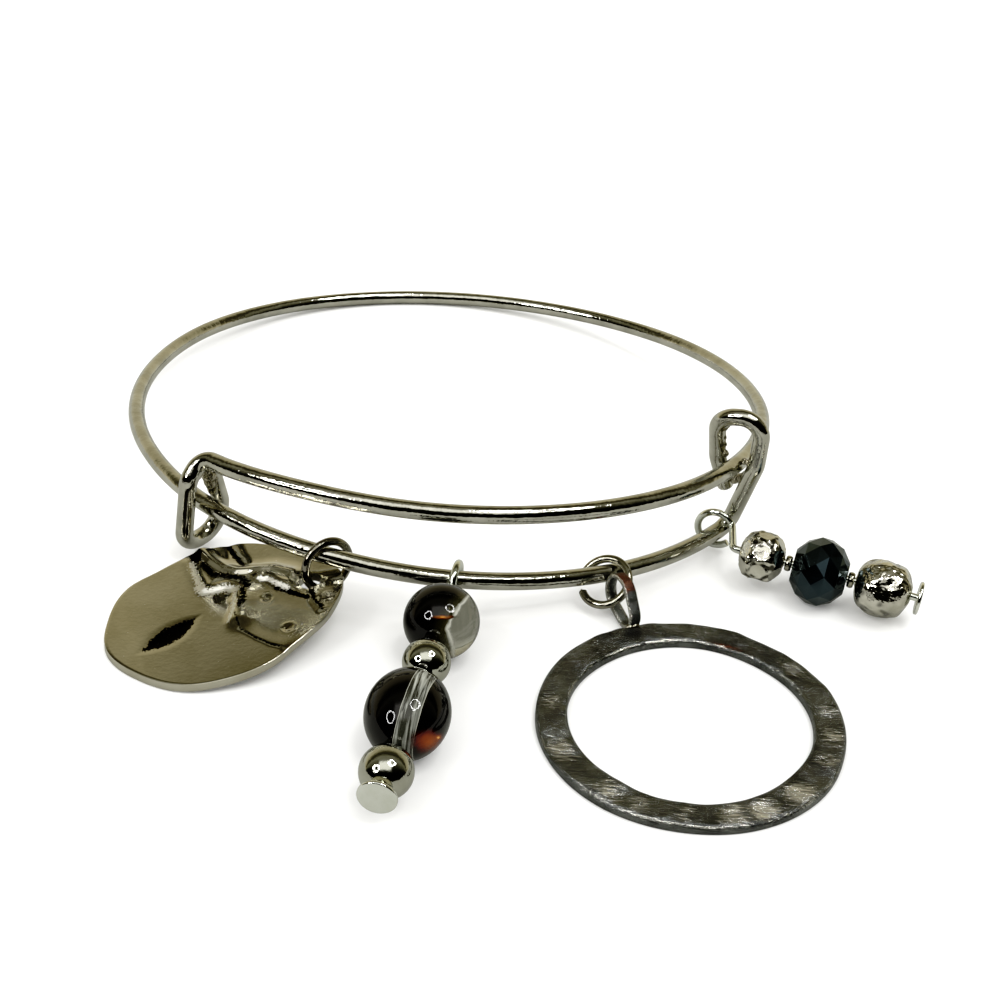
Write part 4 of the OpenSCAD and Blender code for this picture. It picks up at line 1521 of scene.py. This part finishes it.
@dataclass(frozen=True)
class Pin:
    """A head pin with a loop that the rail passes through."""

    d: float = 0.7
    loop_d: float = 2.9
    head_d: float = 3.1
    head_t: float = 0.35
    flare: float = 0.05
    bore_play: float = 0.12
    gap: float = 0.12
    rail_clearance: float = 0.18
    sides: int = 48

    @property
    def loop_r(self) -> float:
        """Radius of the loop's centre line."""
        return (self.loop_d + self.d) / 2

    @property
    def bore_r(self) -> float:
        """Radius of a bead's bore."""
        return self.d / 2 + self.bore_play

    @property
    def neck(self) -> float:
        """Radius of the bend at the pin's neck."""
        return 0.8 * self.d

    def play(self, route: Route) -> float:
        """Returns how far the loop's middle is from the middle of the rail in it."""
        return self.loop_d / 2 - route.wire_d / 2 - self.rail_clearance

    def loop(self, centre: Point, x: Point, y: Point, angle: float) -> Point:
        """Returns a point of the loop, at an angle in degrees from x towards y."""
        a = math.radians(angle)
        return centre + self.loop_r * (x * math.cos(a) + y * math.sin(a))

    def mesh(self, path: Sequence[Point], run: Point) -> Mesh:
        """Builds the pin from its head to the loop's free end.

        Args:
            path: The centre line, which starts at the head's outer face.
            run: The direction from the loop to the head.

        Returns:
            The mesh.
        """
        head, r = path[0], self.d / 2
        rim = self.head_d / 2
        t = self.head_t
        steps = [(0.0, rim * 0.9), (0.03, rim * 0.97), (0.09, rim), (t - 0.09, rim),
                 (t - 0.03, rim * 0.97), (t, rim * 0.9), (t + 0.02, r * 1.5),
                 (t + self.flare, r)]
        points = [head - run * s for s, _ in steps]
        radii = [q for _, q in steps]
        rest = list(path[1:])
        last = unit(rest[-2] - rest[-1])
        rest = rest[:-1] + [rest[-1] + last * self.d * s for s in (0.12, 0.04, 0.0)]
        radii += [r] * (len(rest) - 2) + [r * 0.95, r * 0.8]
        return sweep(points + rest, radii, self.sides)

    def build(
        self,
        name: str,
        finish: PlatedMetal,
        run: Point,
        corners: Sequence[tuple[Point, float]],
        loop: tuple[Point, Point, Point],
        ends: tuple[float, float],
    ) -> None:
        """Builds a pin for a drop.

        Args:
            name: The solid's name.
            finish: The pin's finish.
            run: The direction from the loop to the head.
            corners: Pairs of (point, radius) from the head to the loop.
            loop: The loop's middle, and the two directions that its angles turn between.
            ends: The angles at which the loop starts and stops.
        """
        start, stop = ends
        neck = bent([*corners, (self.loop(*loop, start - 20), 0)])
        ring = [self.loop(*loop, a) for a in np.arange(start, stop, 6)]
        make_piece(f"{name}_bright", self.mesh(neck + ring, run), finish.make(),
                   name)


@dataclass(frozen=True)
class Strand:
    """The straight part of a pin that beads are strung on, from its start along its run."""

    start: Point
    run: Point

    def axes(self) -> tuple[Point, Point, Point]:
        """Works out how beads are turned on the pin.

        Returns:
            A bead's axes: its X faces down along the run, and its Z is the run.
        """
        a = math.atan2(self.run[1], self.run[0])
        b = math.pi / 2 - math.asin(self.run[2])
        x = np.array([math.cos(a) * math.cos(b), math.sin(a) * math.cos(b), -math.sin(b)])
        return x, np.array([-math.sin(a), math.cos(a), 0.0]), self.run

    def thread(self, mesh: Mesh, distance: float) -> Mesh:
        """Returns a bead's mesh, threaded on at a distance from the start."""
        return placed(mesh, self.start + self.run * distance, *self.axes())


def strung(start: float, gap: float, lengths: dict[str, float]) -> dict[str, float]:
    """Strings beads on a pin, each a gap from the one before.

    Args:
        start: Where the first gap starts.
        gap: The gap.
        lengths: The beads' lengths by name.

    Returns:
        How far out each bead's middle is, and under "end" where the last bead ends.
    """
    middles, end = {}, start
    for name, length in lengths.items():
        middles[name] = end + gap + length / 2
        end += gap + length
    return {**middles, "end": end}


def arc_points(radius: float, join: float, steps: int) -> list[tuple[float, float]]:
    """Returns a ball's profile, as (radius, height), less an angle of join at each end."""
    return [(radius * math.sin(a), -radius * math.cos(a))
            for a in np.linspace(join, math.pi - join, steps)]


@dataclass
class GlassDrop:
    """The drop of two glass beads and two plated balls."""

    route: Route
    pin: Pin
    finishes: Finishes
    at: float = 273.5
    turn: float = -14.2
    round_d: float = 6.5
    round_flats: float = 0.2
    upper_ball_d: float = 4.0
    oval_d: float = 6.8
    oval_l: float = 8.0
    lower_ball_d: float = 4.2
    collar_l: float = 0.2
    collar_edge: float = 0.04
    ball_neck: float = 0.5
    glass_rows: int = 110
    glass_turns: int = 160
    loop_ends: tuple[float, float] = (70.0, 328.0)
    shows: tuple[float, float, float] = (0.0, -0.77, 0.64)
    rightward: tuple[float, float, float] = (0.998, 0.045, 0.045)

    @property
    def round_l(self) -> float:
        """Length of the round glass bead."""
        return self.round_d - self.round_flats

    @property
    def level(self) -> Point:
        """Direction to the right of the beads' showing side."""
        return unit(np.array(self.rightward))

    def ball_mesh(self, d: float) -> Mesh:
        """Builds a ball bead with a short collar at each end.

        Args:
            d: The ball's diameter.

        Returns:
            The mesh.
        """
        bore = self.pin.bore_r
        neck = bore + self.ball_neck / 2
        top, edge = d / 2 + self.collar_l, self.collar_edge
        foot = [(bore, -top), (neck - edge, -top), (neck, edge - top)]
        ball = arc_points(d / 2, math.asin(neck / (d / 2)), 56)
        return spin(foot + ball + [(r, -z) for r, z in reversed(foot)], 96, bore)

    def round_mesh(self) -> Mesh:
        """Builds the round glass bead, which is ground flat round its bore.

        Returns:
            The mesh.
        """
        r, half, bore = self.round_d / 2, self.round_l / 2, self.pin.bore_r
        arc = arc_points(r, math.acos(half / r), self.glass_rows)
        return spin([(bore, -half), *arc, (bore, half)], self.glass_turns, bore)

    def oval_mesh(self) -> Mesh:
        """Builds the oval glass bead, whose side is an arc.

        Returns:
            The mesh.
        """
        bore = self.pin.bore_r
        waist, half, end = self.oval_d / 2, self.oval_l / 2, 2 * bore
        dome = (half ** 2 + (waist - end) ** 2) / (2 * (waist - end))
        lean = math.asin(half / dome)
        arc = [(waist - dome + dome * math.cos(a), dome * math.sin(a))
               for a in np.linspace(-lean, lean, self.glass_rows)]
        return spin([(bore, -half), *arc, (bore, half)], self.glass_turns, bore)

    def build(self) -> None:
        """Builds the pin and the four beads."""
        p = self.pin
        collars = 2 * self.collar_l
        s = strung(p.loop_r + p.d / 2, p.gap, {
            "round": self.round_l, "upper": self.upper_ball_d + collars,
            "oval": self.oval_l, "lower": self.lower_ball_d + collars})
        loop = self.route.at(self.at) - UP * p.play(self.route)
        dip = math.asin((loop[2] - self.oval_d / 2) / s["oval"])
        level = out(self.at + self.turn)
        run = level * math.cos(dip) - UP * math.sin(dip)
        side = UP * math.cos(dip) + level * math.sin(dip)
        head = s["end"] + p.gap + p.flare + p.head_t
        p.build("glass_drop_pin", self.finishes.pin, run,
                [(loop + run * head, 0), (loop + run * p.loop_r, p.neck)],
                (loop, run, side), self.loop_ends)
        strand = Strand(loop, run)
        ball = self.finishes.ball.make()
        for name, d in (("upper", self.upper_ball_d), ("lower", self.lower_ball_d)):
            make_piece(f"{name}_ball_bead_mirror", strand.thread(self.ball_mesh(d), s[name]),
                       ball, f"{name}_ball_bead")
        for name, finish, mesh, marks in (
                ("round", self.finishes.round_glass, self.round_mesh(), self.round_marks),
                ("oval", self.finishes.oval_glass, self.oval_mesh(), self.oval_marks)):
            make_piece(f"{name}_glass_bead_clear", strand.thread(mesh, s[name]), finish.make(),
                       f"{name}_glass_bead", marks=marks(mesh[0], strand))

    def facing(self, verts: np.ndarray, strand: Strand, size: float) -> np.ndarray:
        """Measures a bead's points against its showing side.

        Args:
            verts: The points, with Z along the strand.
            strand: What the bead is strung on.
            size: The bead's radius across the strand.

        Returns:
            For each point how far it is to the right, up and towards the showing side.
        """
        towards = unit(np.array(self.shows) - (np.array(self.shows) @ self.level) * self.level)
        up = np.cross(towards, self.level)
        return (verts @ np.array(strand.axes()) / size) @ np.array([self.level, up, towards]).T

    def round_marks(self, verts: np.ndarray, strand: Strand) -> dict[str, np.ndarray]:
        """Places the dark glass, the amber spot and the streaks in the round bead.

        Args:
            verts: The bead's points, with Z along the strand.
            strand: What the bead is strung on.

        Returns:
            What the glass reads at each point, by name.
        """
        u, v, f = self.facing(verts, strand, self.round_d / 2).T
        seam = 0.30 + 0.36 * (v + 0.25) * np.abs(v + 0.25) + 0.30 * (v + 0.25)
        seam = np.where(v < -0.25, 0.22 - 0.25 * (v + 0.25), seam - 0.10)
        front = step_between(-0.15, 0.15, f)
        zone = 0.385 + (seam - u) * (0.45 * front + 0.9 * (1 - front)) - 0.55 * (1 - front)
        ember = 0.9 * np.exp(-(((u - 0.02) / 0.30) ** 2 + ((v - 0.07) / 0.055) ** 2)) * front
        return {"zone": zone, "ember": ember, "across": u * 3.0, "lengthwise": v * 3.0}

    def oval_marks(self, verts: np.ndarray, strand: Strand) -> dict[str, np.ndarray]:
        """Places the dark glass, the orange red corner with its painted glint, and the streaks in
        the oval bead.

        Args:
            verts: The bead's points, with Z along the strand.
            strand: What the bead is strung on.

        Returns:
            What the glass reads at each point, by name.
        """
        w = verts / (self.oval_d / 2)
        u, v, f = self.facing(verts, strand, self.oval_d / 2).T
        middle = 0.25 - 0.07 * w[:, 2]
        band = np.exp(-(((w[:, 1] - middle) / 0.29) ** 4)) * step_between(-0.1, 0.2, f)
        ember = 0.85 * np.exp(-(((u - 0.50) / 0.36) ** 2 + ((v + 0.60) / 0.28) ** 2))
        # A small painted glint in the orange red corner, which reaches the top of the warm ramp.
        ember += 0.5 * np.exp(-(((u - 0.70) / 0.06) ** 2 + ((v + 0.50) / 0.05) ** 2))
        ember *= step_between(0.0, 0.3, f)
        return {"zone": 0.95 - 0.75 * band, "ember": ember,
                "across": verts[:, 1], "lengthwise": verts[:, 2]}


@dataclass
class FacetedDrop:
    """The drop of a black cut bead between two cast silver beads.

    A row of cut_rows is a height and a radius, as shares of the bead's length and diameter. A
    row of dimple_rows is a tilt, a number of dimples and the first one's angle.
    """

    route: Route
    pin: Pin
    finishes: Finishes
    at: float = 325.0
    turn: float = 16.5
    dip: float = 1.0
    strand: tuple[float, float] = (3.4, -3.25)
    loop_turn: float = 10.0
    small_d: float = 4.7
    small_l: float = 4.2
    black_d: float = 6.4
    black_l: float = 5.0
    large_d: float = 5.3
    large_l: float = 5.1
    seed_d: float = 1.5
    seed_l: float = 0.6
    tail: float = 0.5
    facets: int = 10
    cut_turn: float = 0.3
    nugget_rows: int = 110
    nugget_turns: int = 180
    dimple_rows: tuple[tuple[float, int, float], ...] = ((0, 7, 20), (45, 6, 50), (-45, 6, 50))
    dimple_deg: float = 18.0
    beaten_deg: float = 17.0
    beaten_count: int = 30
    beaten_seed: int = 11
    loop_ends: tuple[float, float] = (80.0, 325.0)
    cut_rows: tuple[tuple[float, float], ...] = (
        (-0.5, 0.24), (-0.33, 0.41), (-0.1, 0.5), (0.1, 0.5), (0.33, 0.41), (0.5, 0.24))

    def cut_bead(self, d: float, length: float, facets: int) -> Mesh:
        """Builds a bead of flat facets round an open bore.

        Args:
            d: The bead's diameter.
            length: Its length.
            facets: Number of facets in a row.

        Returns:
            The mesh.
        """
        rows, bore = len(self.cut_rows), self.pin.bore_r / d
        rings = []
        for i, (h, r) in enumerate((*self.cut_rows, (0.5, bore), (-0.5, bore))):
            offset = self.cut_turn + (0.5 if i % 2 or i >= rows else 0.0)
            a = (np.arange(facets) + offset) * 2 * math.pi / facets
            rings.append(np.stack([r * d * np.cos(a), r * d * np.sin(a),
                                   np.full(facets, h * length)], 1))
        faces: list[tuple[int, ...]] = []
        for i in range(len(rings)):
            here, above = i * facets, (i + 1) % len(rings) * facets
            for k in range(facets):
                m = (k + 1) % facets
                a, b, c, e = here + k, here + m, above + m, above + k
                if i >= rows - 1:
                    faces.append((a, b, c, e))
                elif i % 2 == 0:
                    faces += [(a, b, e), (b, c, e)]
                else:
                    faces += [(a, b, c), (a, c, e)]
        return np.vstack(rings), faces

    def nugget(
        self,
        d: float,
        length: float,
        pattern: Callable[[np.ndarray], tuple[np.ndarray, np.ndarray]],
        squareness: float,
    ) -> tuple[Mesh, dict[str, np.ndarray]]:
        """Builds a cast bead with a pattern pressed into it.

        Args:
            d: The bead's diameter.
            length: Its length.
            pattern: Gives the step of the skin in millimetres at its points, and how dark it is.
            squareness: 2 for an ellipse, and more for fuller shoulders.

        Returns:
            The mesh, and for each point how far it is tarnished.
        """
        bore = self.pin.bore_r
        half = length / 2
        rows = []
        for t in np.linspace(-math.pi / 2, math.pi / 2, self.nugget_rows):
            c, s = math.cos(t), math.sin(t)
            z = half * math.copysign(abs(s) ** (2 / squareness), s)
            r = max(bore * 1.02, d / 2 * c ** (2 / squareness))
            rows.append((r, z))
        verts, faces = spin(rows, self.nugget_turns, bore)
        skin = slice(0, len(rows) * self.nugget_turns)
        v = verts[skin]
        radial = np.linalg.norm(v[:, :2], axis=1)
        towards = v / np.maximum(np.linalg.norm(v, axis=1), 1e-6)[:, None]
        fade = np.clip((radial - bore * 1.2) / (bore * 1.2), 0, 1)
        step, dark = pattern(v)
        verts[skin] = v + towards * (step * fade)[:, None]
        tarnish = np.zeros(len(verts))
        tarnish[skin] = dark
        return (verts, faces), {"tarnish": tarnish}

    def dimples(self, v: np.ndarray) -> tuple[np.ndarray, np.ndarray]:
        """Presses flat round facets into the small silver bead, in offset rows.

        Args:
            v: The points of the skin.

        Returns:
            The step of the skin and how dark it is. The web between the facets is crinkled.
        """
        centres = []
        for tilt, count, offset in self.dimple_rows:
            for k in range(count):
                a, t = math.radians(360 * k / count + offset), math.radians(tilt)
                centres.append((math.cos(t) * math.cos(a), math.cos(t) * math.sin(a),
                                math.sin(t)))
        radius = np.linalg.norm(v, axis=1)
        near = (v / np.maximum(radius, 1e-6)[:, None] @ np.array(centres).T).max(1)
        limit = math.cos(math.radians(self.dimple_deg))
        flat = np.where(near > limit, radius * (limit / near - 1), 0.0)
        from_middle = np.degrees(np.arccos(np.clip(near, -1, 1)))
        web = step_between(self.dimple_deg - 1.5, self.dimple_deg + 2, from_middle)
        lumps = grain(v, 0.55, 5.0)
        crinkle = 0.03 + 0.12 * lumps + 0.05 * grain(v, 0.28, 8.0)
        return flat + web * crinkle - 0.05, 0.9 * web * step_between(-0.15, 0.25, -lumps)

    def crinkles(self, v: np.ndarray) -> tuple[np.ndarray, np.ndarray]:
        """Beats uneven facets and crinkles into the large silver bead.

        Args:
            v: The points of the skin.

        Returns:
            The step of the skin and how dark it is.
        """
        draw = np.random.default_rng(self.beaten_seed)
        centres = draw.normal(size=(self.beaten_count, 3))
        centres /= np.linalg.norm(centres, axis=1)[:, None]
        radius = np.linalg.norm(v, axis=1)
        near = (v / np.maximum(radius, 1e-6)[:, None] @ centres.T).max(1)
        flat = radius * (math.cos(math.radians(self.beaten_deg)) / np.maximum(near, 0.92) - 1)
        lumps = grain(v, 0.8, 5.0)
        step = np.minimum(flat + 0.08 * lumps + 0.015 * grain(v, 0.35, 7.0), 0.06)
        return step, 0.6 * step_between(0.2, 0.55, -lumps)

    def build(self) -> None:
        """Builds the pin and the five beads."""
        p = self.pin
        s = strung(p.neck, p.gap, {
            "small": self.small_l, "inner": self.seed_l, "black": self.black_l,
            "outer": self.seed_l, "large": self.large_l})
        loop = self.route.at(self.at) + UP * p.play(self.route)
        dip = math.radians(self.dip)
        run = out(self.at + self.turn) * math.cos(dip) - UP * math.sin(dip)
        corner = np.array([loop[0], loop[1], self.black_d / 2 + s["black"] * math.sin(dip)])
        corner += out(self.at) * self.strand[0] + along(self.at) * self.strand[1]
        ring = (loop, out(self.at + self.loop_turn), UP)
        head = s["end"] + self.tail + p.flare + p.head_t
        p.build("faceted_drop_pin", self.finishes.pin, run,
                [(corner + run * head, 0), (corner, p.neck),
                 (p.loop(*ring, self.loop_ends[0] - 50), p.neck)], ring, self.loop_ends)
        strand = Strand(corner, run)
        for key, finish, slot, look, (mesh, film) in (
                ("small", self.finishes.silver, "dimpled_silver", "dimpled",
                 self.nugget(self.small_d, self.small_l, self.dimples, 2.6)),
                ("large", self.finishes.beaten, "hammered_silver", "crinkled",
                 self.nugget(self.large_d, self.large_l, self.crinkles, 2.5))):
            make_piece(f"{key}_silver_bead_{look}", strand.thread(mesh, s[key]), finish.make(),
                       f"{key}_silver_bead", Shade.ROUND, marks=film)
        black = self.cut_bead(self.black_d, self.black_l, self.facets)
        make_piece("black_faceted_bead_cut", strand.thread(black, s["black"]),
                   self.finishes.black.make(), "black_faceted_bead",
                   Shade.FLAT, bevel=0.05)
        r, half = self.seed_d / 2, self.seed_l / 2
        arc = [(p.bore_r + (r - p.bore_r) * (0.35 + 0.65 * math.cos(a)), half * math.sin(a))
               for a in np.linspace(-math.pi / 2, math.pi / 2, 24)]
        seed = spin([(p.bore_r, -half), *arc, (p.bore_r, half)], 48, p.bore_r)
        for key in ("inner", "outer"):
            make_piece(f"{key}_seed_bead_round", strand.thread(seed, s[key]),
                       self.finishes.hoop_ring.make(), f"{key}_seed_bead",
                       Shade.ROUND)


@dataclass(frozen=True)
class Studio:
    """A pale floor, a softbox overhead, two ring lamps and the camera.

    Directions in the room are given by how high they are on the arc that runs from the front
    over the top to the back, in degrees.
    """

    camera_at: tuple[float, float, float] = (0.0, -0.13287, 0.07659)
    yaw: float = 2.97
    pitch: float = -32.50
    roll: float = 5.74
    lens: float = 50.64
    sensor: float = 36.0
    floor_half: float = 3.0
    tooth_mm: float = 2.5
    tooth_deep_mm: float = 0.2
    floor_seen: str = "#f7f7f5"
    floor_mirrored: str = "#a3a39c"
    daylight: float = 1.16
    softbox_gain: float = 1.3
    softbox_tint: str = "#fffef8"
    softbox_middle: float = -0.07
    softbox_half: float = 0.43
    softbox_fade: float = 0.05
    lamps: tuple[tuple[float, float, float], ...] = (
        (-0.661, -0.412, 0.628), (0.353, -0.144, 0.924))
    lamp_gain: float = 26.0
    lamp_ring: float = 0.9810
    lamp_tube: float = 0.0030
    room: tuple[tuple[float, str], ...] = (
        (0, "#12110d"), (44, "#16150f"), (60, "#2b2a20"), (90, "#6d6b5c"), (104, "#8b8978"),
        (118, "#434032"), (131, "#555140"), (138, "#938d74"), (143, "#b7af92"),
        (155, "#c2ba9e"), (172, "#cbc6b0"), (180, "#d6d3c6"))
    tones: tuple[tuple[float, float], ...] = (
        (0.012, 0.002), (0.035, 0.012), (0.08, 0.058), (0.20, 0.19), (0.5, 0.52))
    softbox: tuple[tuple[float, float], ...] = (
        (40, 0.0), (46, 0.12), (53, 0.95), (58, 1.0), (80, 1.0), (88, 0.18), (100, 0.0))

    def build_floor(self) -> None:
        """Lays the pale floor, which metal and glass show as paper in the shade."""
        h = self.floor_half
        data = bpy.data.meshes.new("studio_floor")
        data.from_pydata([(-h, -h, 0), (h, -h, 0), (h, h, 0), (-h, h, 0)], [], [(0, 1, 2, 3)])
        floor = bpy.data.objects.new("studio_floor", data)
        bpy.context.scene.collection.objects.link(floor)
        material, tree, shader, place = new_finish("white_paper")
        seen = add_node(tree, "LightPath", gives="Is Camera Ray")
        tint = add_node(
            tree, "Mix",
            {"data_type": "RGBA", 6: to_linear(self.floor_mirrored),
             7: to_linear(self.floor_seen)}, {0: seen})
        tooth = add_node(
            tree, "TexNoise", {"Scale": 1 / (self.tooth_mm * MM), "Detail": 2.0},
            {"Vector": place})
        bump = add_node(
            tree, "Bump", {"Strength": 0.02, "Distance": self.tooth_deep_mm * MM},
            {"Height": tooth})
        set_up(shader, {"Roughness": 0.9, "Specular IOR Level": 0.05},
               {"Base Color": tint, "Normal": bump})
        data.materials.append(material)

    def build_world(self) -> None:
        """Makes even daylight for matt surfaces, and the room that metal and glass mirror."""
        world = bpy.data.worlds.new("studio_room")
        bpy.context.scene.world = world
        world.use_nodes = True
        tree = world.node_tree
        tree.nodes.clear()
        direction = add_node(tree, "TexCoord", gives="Generated")
        x, y, z = add_node(tree, "SeparateXYZ", None, {"Vector": direction}).node.outputs
        front = add_node(tree, "Math", {"operation": "MULTIPLY", 1: -1.0}, {0: y})
        arc = add_node(tree, "Math", {"operation": "ARCTAN2"}, {0: z, 1: front})
        share = add_node(tree, "Math", {"operation": "DIVIDE", 1: math.pi}, {0: arc})
        walls = add_node(
            tree, "ValToRGB",
            {"stops": [(a / 180, to_linear(c)) for a, c in self.room]}, {"Fac": share})
        height = add_node(
            tree, "ValToRGB",
            {"stops": [(a / 180, grey(v)) for a, v in self.softbox]}, {"Fac": share})
        off_middle = add_node(
            tree, "Math", {"operation": "SUBTRACT", 1: self.softbox_middle}, {0: x})
        width = add_node(tree, "Math", {"operation": "ABSOLUTE"}, {0: off_middle})
        within = add_node(
            tree, "MapRange",
            {"From Min": self.softbox_half - self.softbox_fade,
             "From Max": self.softbox_half + self.softbox_fade,
             "To Min": 1.0, "To Max": 0.0}, {"Value": width})
        box = add_node(tree, "Math", {"operation": "MULTIPLY"}, {0: height, 1: within})
        colour = add_node(
            tree, "Mix", {"data_type": "RGBA", 7: to_linear(self.softbox_tint)},
            {0: box, 6: walls})
        power = add_node(
            tree, "Math",
            {"operation": "MULTIPLY_ADD", 1: self.softbox_gain - 1, 2: 1.0}, {0: box})
        mirrored = add_node(tree, "Background", None, {"Color": colour, "Strength": power})
        for lamp in self.lamps:
            closeness = add_node(
                tree, "VectorMath", {"operation": "DOT_PRODUCT", 1: lamp}, {0: direction})
            tube = add_node(
                tree, "Math", {"operation": "COMPARE", 1: self.lamp_ring, 2: self.lamp_tube},
                {0: closeness})
            glow = add_node(tree, "Background", {"Color": grey(1.0), "Strength": self.lamp_gain})
            mirrored = add_node(tree, "MixShader", None, {0: tube, 1: mirrored, 2: glow})
        soft = add_node(tree, "Background", {"Color": grey(1.0), "Strength": self.daylight})
        ray = add_node(tree, "LightPath").node.outputs
        matt = add_node(
            tree, "Math", {"operation": "ADD", "use_clamp": True},
            {0: ray["Is Camera Ray"], 1: ray["Diffuse Depth"]})
        lit = add_node(tree, "MixShader", None, {0: matt, 1: mirrored, 2: soft})
        add_node(tree, "OutputWorld", None, {"Surface": lit})

    def build_camera(self) -> None:
        """Sets the camera at the photograph's viewing angle."""
        data = bpy.data.cameras.new("photo_camera")
        data.lens = self.lens
        data.sensor_width = self.sensor
        data.clip_start = 0.001
        camera = bpy.data.objects.new("photo_camera", data)
        bpy.context.scene.collection.objects.link(camera)
        yaw, pitch, roll = (math.radians(v) for v in (self.yaw, self.pitch, self.roll))
        forward = Vector((math.sin(yaw) * math.cos(pitch), math.cos(yaw) * math.cos(pitch),
                          math.sin(pitch)))
        right = forward.cross(Vector((0, 0, 1))).normalized()
        up = right.cross(forward)
        level = right * math.cos(roll) + up * math.sin(roll)
        rise = -right * math.sin(roll) + up * math.cos(roll)
        frame_axes = Matrix((level, rise, -forward)).transposed().to_4x4()
        camera.matrix_world = Matrix.Translation(self.camera_at) @ frame_axes
        bpy.context.scene.camera = camera

    def set_tones(self) -> None:
        """Prints the darkest tones deep, as the photograph's film does."""
        view = bpy.context.scene.view_settings
        view.view_transform = "Standard"
        view.use_curve_mapping = True
        for place in self.tones:
            view.curve_mapping.curves[3].points.new(*place)
        view.curve_mapping.update()

    def build(self) -> None:
        """Builds the whole studio."""
        self.build_camera()
        self.build_floor()
        self.build_world()
        self.set_tones()


def main() -> None:
    """Builds the studio and the bangle."""
    logging.basicConfig(level=logging.INFO, format="%(name)s: %(message)s")
    Studio().build()
    finishes = Finishes()
    route = Route()
    BangleWire(route, finishes).build()
    disc_ring = JumpRing(
        route, rail_at=254.0, turn=-36.0, lean=7.0, seat=81.0, end_clock=265.0, gap=0.25)
    hoop_ring = JumpRing(
        route, rail_at=298.0, turn=18.2, lean=-49.2, seat=26.4, end_clock=330.0, gap=1.1)
    make_piece("disc_jump_ring_wire", disc_ring.mesh(), finishes.disc_ring.make(),
               "disc_jump_ring")
    make_piece("hoop_jump_ring_wire", hoop_ring.mesh(), finishes.hoop_ring.make(),
               "hoop_jump_ring")
    WavyDisc(disc_ring, finishes).build()
    HammeredHoop(hoop_ring, finishes).build()
    pin = Pin()
    GlassDrop(route, pin, finishes).build()
    FacetedDrop(route, pin, finishes).build()


if __name__ == "__main__":
    main()
